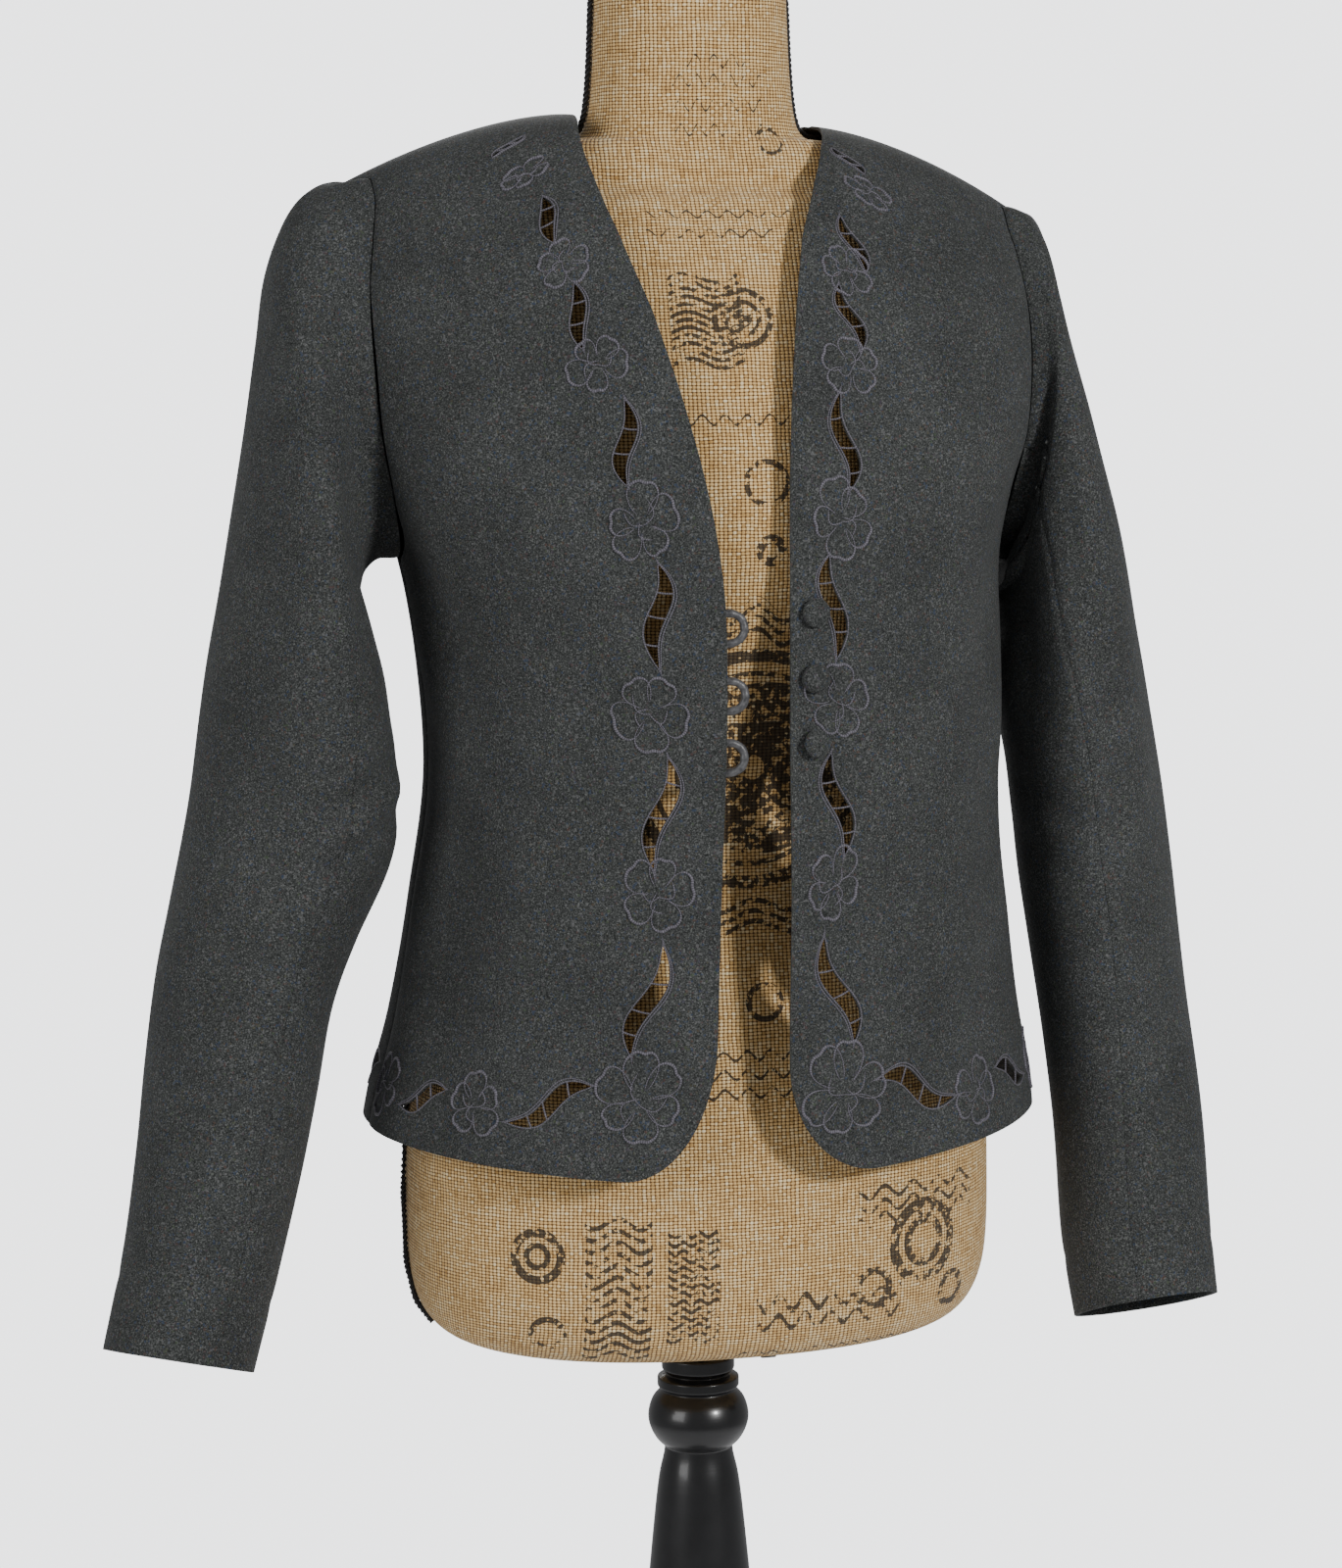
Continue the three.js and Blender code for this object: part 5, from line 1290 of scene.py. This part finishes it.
def flower_lines(side, flower, chance):
    """The outlines of a flower's petals and the folded petals at its middle."""
    lines = []
    radius = flower["wide"] / 2
    count = flower["petals"]
    t = np.linspace(0, 1, 44)
    for k in range(count):
        lean = math.radians(flower["turn"] + 360 * (k + chance.uniform(-0.14, 0.14)) / count)
        reach = radius * chance.uniform(0.84, 1.08)
        half = reach * math.sin(math.pi / count) * chance.uniform(0.66, 0.86)
        swirl = chance.uniform(-0.1, 0.25)
        turn = math.pi * (2 * (0.08 + 0.84 * t) - 1)
        notch = 1 - 0.15 * np.exp(-(((t - 0.5 - 0.2 * swirl) / 0.045) ** 2))
        along = reach * (0.585 + 0.415 * np.cos(turn) * notch)
        across = half * np.sin(turn) * (0.88 + 0.26 * np.cos(turn)) + swirl * along * 0.35
        thick = 0.34 + 0.66 * np.clip(np.cos(turn + 0.5 * swirl), 0, 1) ** 1.4
        ends = np.clip(np.minimum(t, 1 - t) / 0.06, 0.35, 1)
        lines.append(petal_line(side, flower, along, across, lean, thick * ends))
    for k in range(3):
        lean = math.radians(flower["turn"] + 100 + 130 * k + chance.uniform(-20, 20))
        long = radius * chance.uniform(0.5, 0.7)
        bulge = radius * (0.3 if k < 2 else -0.22) * chance.uniform(0.8, 1.1)
        s = np.linspace(0, 1, 26)
        along, across = long * (s - 0.12), bulge * np.sin(math.pi * s) + 0.08 * long * s
        ends = np.clip(np.minimum(s, 1 - s) / 0.12, 0.3, 1)
        lines.append(petal_line(side, flower, along, across, lean, 0.42 * ends))
    return lines


def leaf_lines(side, leaf, chance):
    """Cords along both edges of an opening, a second one outside, and bars across it."""
    lines = []
    t = np.linspace(0, 1, 60)
    swell = np.sin(math.pi * t)
    ends = np.clip(np.minimum(t, 1 - t) / 0.07, 0.25, 1)
    for edge, gap, stretch, thick in ((1, 0.65, 1.12, 0.46), (-1, 0.65, 1.22, 0.46), (-1, 2.2, 1.16, 0.42)):
        edge = edge if leaf["bend"] > 0 else -edge
        spread = gap * swell**0.5
        u, v = leaf_curve(leaf, t, edge, spread=spread, stretch=stretch)
        lines.append(stitched(side, leaf, u, v, thick * ends * (0.8 + 0.2 * swell)))
    places = (0.3, 0.62) if leaf["long"] < 45 else (0.27, 0.56, 0.8)
    for place in places:
        place += chance.uniform(-0.03, 0.03)
        first = leaf_curve(leaf, np.array([place + chance.uniform(-0.03, 0.03)]), 1, spread=0.7)
        second = leaf_curve(leaf, np.array([place]), -1, spread=0.7)
        s = np.linspace(0, 1, 8)
        u = first[0] + (second[0] - first[0]) * s
        v = first[1] + (second[1] - first[1]) * s - 0.35 * np.sin(math.pi * s)
        lines.append(stitched(side, leaf, u, v, BAR_SHARE, lift=-0.35))
    return lines


# Rayon embroidery thread, lilac grey, laid side by side across the cord: each stitch gets a fine stripe of
# painted highlight in the colour, with a matching bump. A real one is 0.4 mm wide, too fine to show, so
# each is drawn wider.
STITCH = 0.62 * MM      # half of a drawn stitch's width
THREAD, tree, surface = new_finish(
    "lilac_grey_satin_stitched_thread", Roughness=0.55, Sheen_Weight=0.2, Specular_IOR_Level=0.5
)
along = add_node(tree, "Attribute", settings={"attribute_name": "along"}).outputs["Fac"]
stripe = add_node(tree, "Math PINGPONG", add_node(tree, "Math DIVIDE", along, STITCH), 1.0)
place = add_node(tree, "TexCoord").outputs["Object"]
uneven = add_node(tree, "TexNoise", Vector=place, Scale=700.0, Detail=2.0).outputs["Fac"]
# the stitch stripe mixed into the colour is a painted highlight on each stitch
mixed = add_node(tree, "Math MULTIPLY_ADD", uneven, 0.6, add_node(tree, "Math MULTIPLY", stripe, 0.4))
add_node(
    tree, "ValToRGB", Fac=mixed, stops=((0.2, "#2e2c32"), (0.5, "#514e57"), (0.85, "#7f7b86")),
    to=surface.inputs["Base Color"],
)
add_node(tree, "Bump", Height=stripe, Strength=0.5, Distance=0.0002, to=surface.inputs["Normal"])

for word, sides in (("right", [-1]), ("left", [1]), ("back", [-1, 1])):
    chance = np.random.default_rng({"right": 11, "left": 23, "back": 37}[word])
    lines = []
    for side in sides:
        for flower in FLOWERS[word]:
            lines += flower_lines(side, flower, chance)
        for leaf in LEAVES[word]:
            lines += leaf_lines(side, leaf, chance)
    if word == "back":
        lines += flower_lines(1, MIDDLE_BACK_FLOWER, chance)
    lay_tubes(
        f"embroidery_{word}", lines, PLAIN_TUBE, CORD_WIDTH, CORD_HEIGHT, 1.0, THREAD
    )

# ------------------------------------------------------------------ buttons and loops
# Three dome buttons covered in the jacket's wool are sewn inside the left front's border.
# Three loops of rolled dark satin are caught under the right front's edge.
BUTTONS = rows_of("node height nod lean", [
    # height on the left front, and how far its thread lets it tip in degrees, up and sideways
    ("button_1", 1125.5, 2, -3), ("button_2", 1091.5, -3, 4), ("button_3", 1057.5, 5, -15),
])
BUTTON = {"radius": 7.6, "height": 5.0, "inset": 13}
BUTTON_PROFILE = rows_of("r z", [
    (0.0, 0.0), (0.62, 0.0), (0.88, 0.04), (0.98, 0.2), (1.0, 0.4), (0.95, 0.6), (0.82, 0.79),
    (0.62, 0.92), (0.34, 1.0), (0.0, 1.03),
])
BUTTON_SEGMENTS = 64
GATHERS = 21            # small pleats of cloth drawn in under the rim
PLEAT_DEPTH = 0.016     # as a share of the button's radius
LOOP_HEIGHTS = [1118, 1083, 1051]
LOOP_RADIUS = 2.2
LOOP_SLACK = 0.3        # between a loop and the front's inner side
LOOP_LINE = rows_of("along up", [
    # half of a loop's middle line: towards the opening, and up from the loop's middle
    (-7, 7.4), (0, 7.9), (5.5, 7), (9, 4), (9.9, 0),
])


def front_place(side, height, inset):
    """A place on a front: its point, and directions outward, upward and to the opening."""
    row = row_at(height)
    angle = front_edge_angle(side, row) + inset / column(TORSO, "front", row)
    (point, above), (out, _) = draped(side, np.array([angle, angle]), np.array([row, row + 0.05]))
    up = unit(above - point)
    return point, out, up, unit(-side * np.cross(up, out))


def make_button(button):
    """A covered dome button, tipped as its thread lets it hang."""
    point, out, up, opening = front_place(1, button["height"], BUTTON["inset"])
    nod, lean = math.radians(button["nod"]), math.radians(button["lean"])
    axis = unit(out + up * math.tan(nod) + opening * math.tan(lean))
    right = unit(np.cross(up, axis))
    top = np.cross(axis, right)
    raised = 0.4 + BUTTON["radius"] * abs(math.sin(lean)) * 0.5
    rows = np.linspace(0, len(BUTTON_PROFILE) - 1, 4 * (len(BUTTON_PROFILE) - 1) + 1)[1:-1]
    points = [point + out * raised]
    for r, z in zip(column(BUTTON_PROFILE, "r", rows), column(BUTTON_PROFILE, "z", rows)):
        for k in range(BUTTON_SEGMENTS):
            turn = 2 * math.pi * k / BUTTON_SEGMENTS
            pleat = 1 + PLEAT_DEPTH * math.sin(GATHERS * turn + 1.7 * math.sin(turn)) * max(0, 1 - z / 0.6)
            spoke = r * BUTTON["radius"] * pleat
            points.append(point + out * raised + axis * z * BUTTON["height"]
                          + right * spoke * math.cos(turn) + top * spoke * math.sin(turn))
    points.append(point + out * raised + axis * BUTTON_PROFILE[-1]["z"] * BUTTON["height"])
    faces = ring_faces(len(rows), BUTTON_SEGMENTS)
    new_piece(f"covered_{button['node']}", points, faces, WOOL, [button["node"]])


for button in BUTTONS:
    make_button(button)

# Rolled bias satin, dark slate: a soft sheen, with fine pulls running round the tube.
SATIN, tree, surface = new_finish("dark_slate_rolled_satin", Roughness=0.38, Sheen_Weight=0.1)
place = add_node(tree, "TexCoord").outputs["Object"]
pulls = add_node(tree, "TexNoise", Vector=place, Scale=420.0, Detail=3.0).outputs["Fac"]
add_node(
    tree, "ValToRGB", Fac=pulls, stops=((0.3, "#3a3a3c"), (0.75, "#646466")),
    to=surface.inputs["Base Color"],
)
add_node(tree, "Bump", Height=pulls, Strength=0.5, Distance=0.0006, to=surface.inputs["Normal"])

for number, height in enumerate(LOOP_HEIGHTS, start=1):
    point, out, up, opening = front_place(-1, height, 0)
    seat = point - out * (CLOTH + SEAM + LOOP_RADIUS + LOOP_SLACK)
    half = [seat + opening * p["along"] + up * p["up"] for p in LOOP_LINE]
    other = [seat + opening * p["along"] - up * p["up"] for p in LOOP_LINE[:-1]]
    route = smooth_line(half + other[::-1], 8)
    lay_tubes(
        f"satin_loop_{number}",
        [{"points": route, "outward": np.tile(out, (len(route), 1)),
          "share": 1 + 0.04 * np.sin(np.linspace(0, 40, len(route)))}],
        PLAIN_TUBE, LOOP_RADIUS, LOOP_RADIUS, 1.0, SATIN, [f"button_loop_{number}"],
    )

# ------------------------------------------------------------------ floor, light and camera
# A pale floor that fades out into an equally pale surround, lit by a small strong lamp well to
# the right of the camera, with a wide fill from the left and a wide lamp from behind.
FLOOR_RADIUS = 1.7
FADE_FROM = 0.8
FADED_AT = FLOOR_RADIUS * 0.98


def lay_floor():
    """A round matte floor that turns clear towards its rim."""
    count = 96
    rim = [2 * math.pi * j / count for j in range(count)]
    points = [(0, 0, 0)] + [(FLOOR_RADIUS * math.cos(a), FLOOR_RADIUS * math.sin(a), 0) for a in rim]
    mesh = bpy.data.meshes.new("studio_floor")
    mesh.from_pydata(points, [], [(0, 1 + j, 1 + (j + 1) % count) for j in range(count)])
    floor = bpy.data.objects.new("studio_floor", mesh)
    bpy.context.scene.collection.objects.link(floor)
    material, tree, surface = new_finish("pale_matte_studio_floor", Roughness=0.9)
    surface.inputs["Base Color"].default_value = linear("#e9e9ea")
    place = add_node(tree, "TexCoord").outputs["Object"]
    away = add_node(tree, "VectorMath LENGTH", place).outputs["Value"]
    add_node(
        tree, "MapRange", settings={"interpolation_type": "SMOOTHSTEP"}, Value=away,
        From_Min=FADE_FROM, From_Max=FADED_AT, To_Min=1.0, To_Max=0.0, to=surface.inputs["Alpha"],
    )
    mesh.materials.append(material)


lay_floor()

SEEN_WHITE = 3.2        # brightness of the surround as a backdrop
LIGHT_WHITE = 0.32      # and as light on the object
world = bpy.data.worlds.new("pale_surround")
world.use_nodes = True
tree = world.node_tree
backdrop = tree.nodes["Background"]
seen = add_node(tree, "LightPath").outputs["Is Camera Ray"]
add_node(
    tree, "Math MULTIPLY_ADD", seen, SEEN_WHITE - LIGHT_WHITE, LIGHT_WHITE,
    to=backdrop.inputs["Strength"],
)
backdrop.inputs["Color"].default_value = linear("#f3f4f6")
bpy.context.scene.world = world

LAMPS = rows_of("name at to w h power", [
    # where it stands, what it is aimed at, its width and height in metres, and its power
    ("key", (1.4, -2.35, 1.9), (0, 0, 1.1), 0.35, 0.35, 58),
    ("fill", (-2.3, -1.3, 1.7), (0, 0, 1.1), 1.4, 1.8, 36),
    ("back", (0.5, 2.3, 2.1), (0, 0, 1.1), 1.6, 1.0, 42),
])
for lamp in LAMPS:
    light = bpy.data.lights.new(lamp["name"] + "_lamp", "AREA")
    light.shape = "RECTANGLE"
    light.size = lamp["w"]
    light.size_y = lamp["h"]
    light.energy = lamp["power"]
    stand = bpy.data.objects.new(lamp["name"] + "_lamp", light)
    stand.visible_camera = False
    aim = np.array(lamp["to"]) - np.array(lamp["at"])
    stand.location = lamp["at"]
    stand.rotation_euler = (
        math.atan2(np.hypot(aim[0], aim[1]), -aim[2]), 0, math.atan2(-aim[0], aim[1])
    )
    bpy.context.scene.collection.objects.link(stand)

CAMERA_PLACE = (-0.461, -1.997, 1.28)
CAMERA_TURN = 13.0      # degrees towards the wearer's right
CAMERA_TILT = 7.2       # degrees downward
CAMERA_ROLL = -0.4
camera_data = bpy.data.cameras.new("camera")
camera_data.sensor_width = 36
camera_data.lens = 85.77
camera_data.shift_x = -0.0147
camera = bpy.data.objects.new("camera", camera_data)
camera.matrix_world = (
    Matrix.Translation(CAMERA_PLACE)
    @ Matrix.Rotation(math.radians(-CAMERA_TURN), 4, "Z")
    @ Matrix.Rotation(math.radians(90 - CAMERA_TILT), 4, "X")
    @ Matrix.Rotation(math.radians(CAMERA_ROLL), 4, "Z")
)
bpy.context.scene.collection.objects.link(camera)
bpy.context.scene.camera = camera
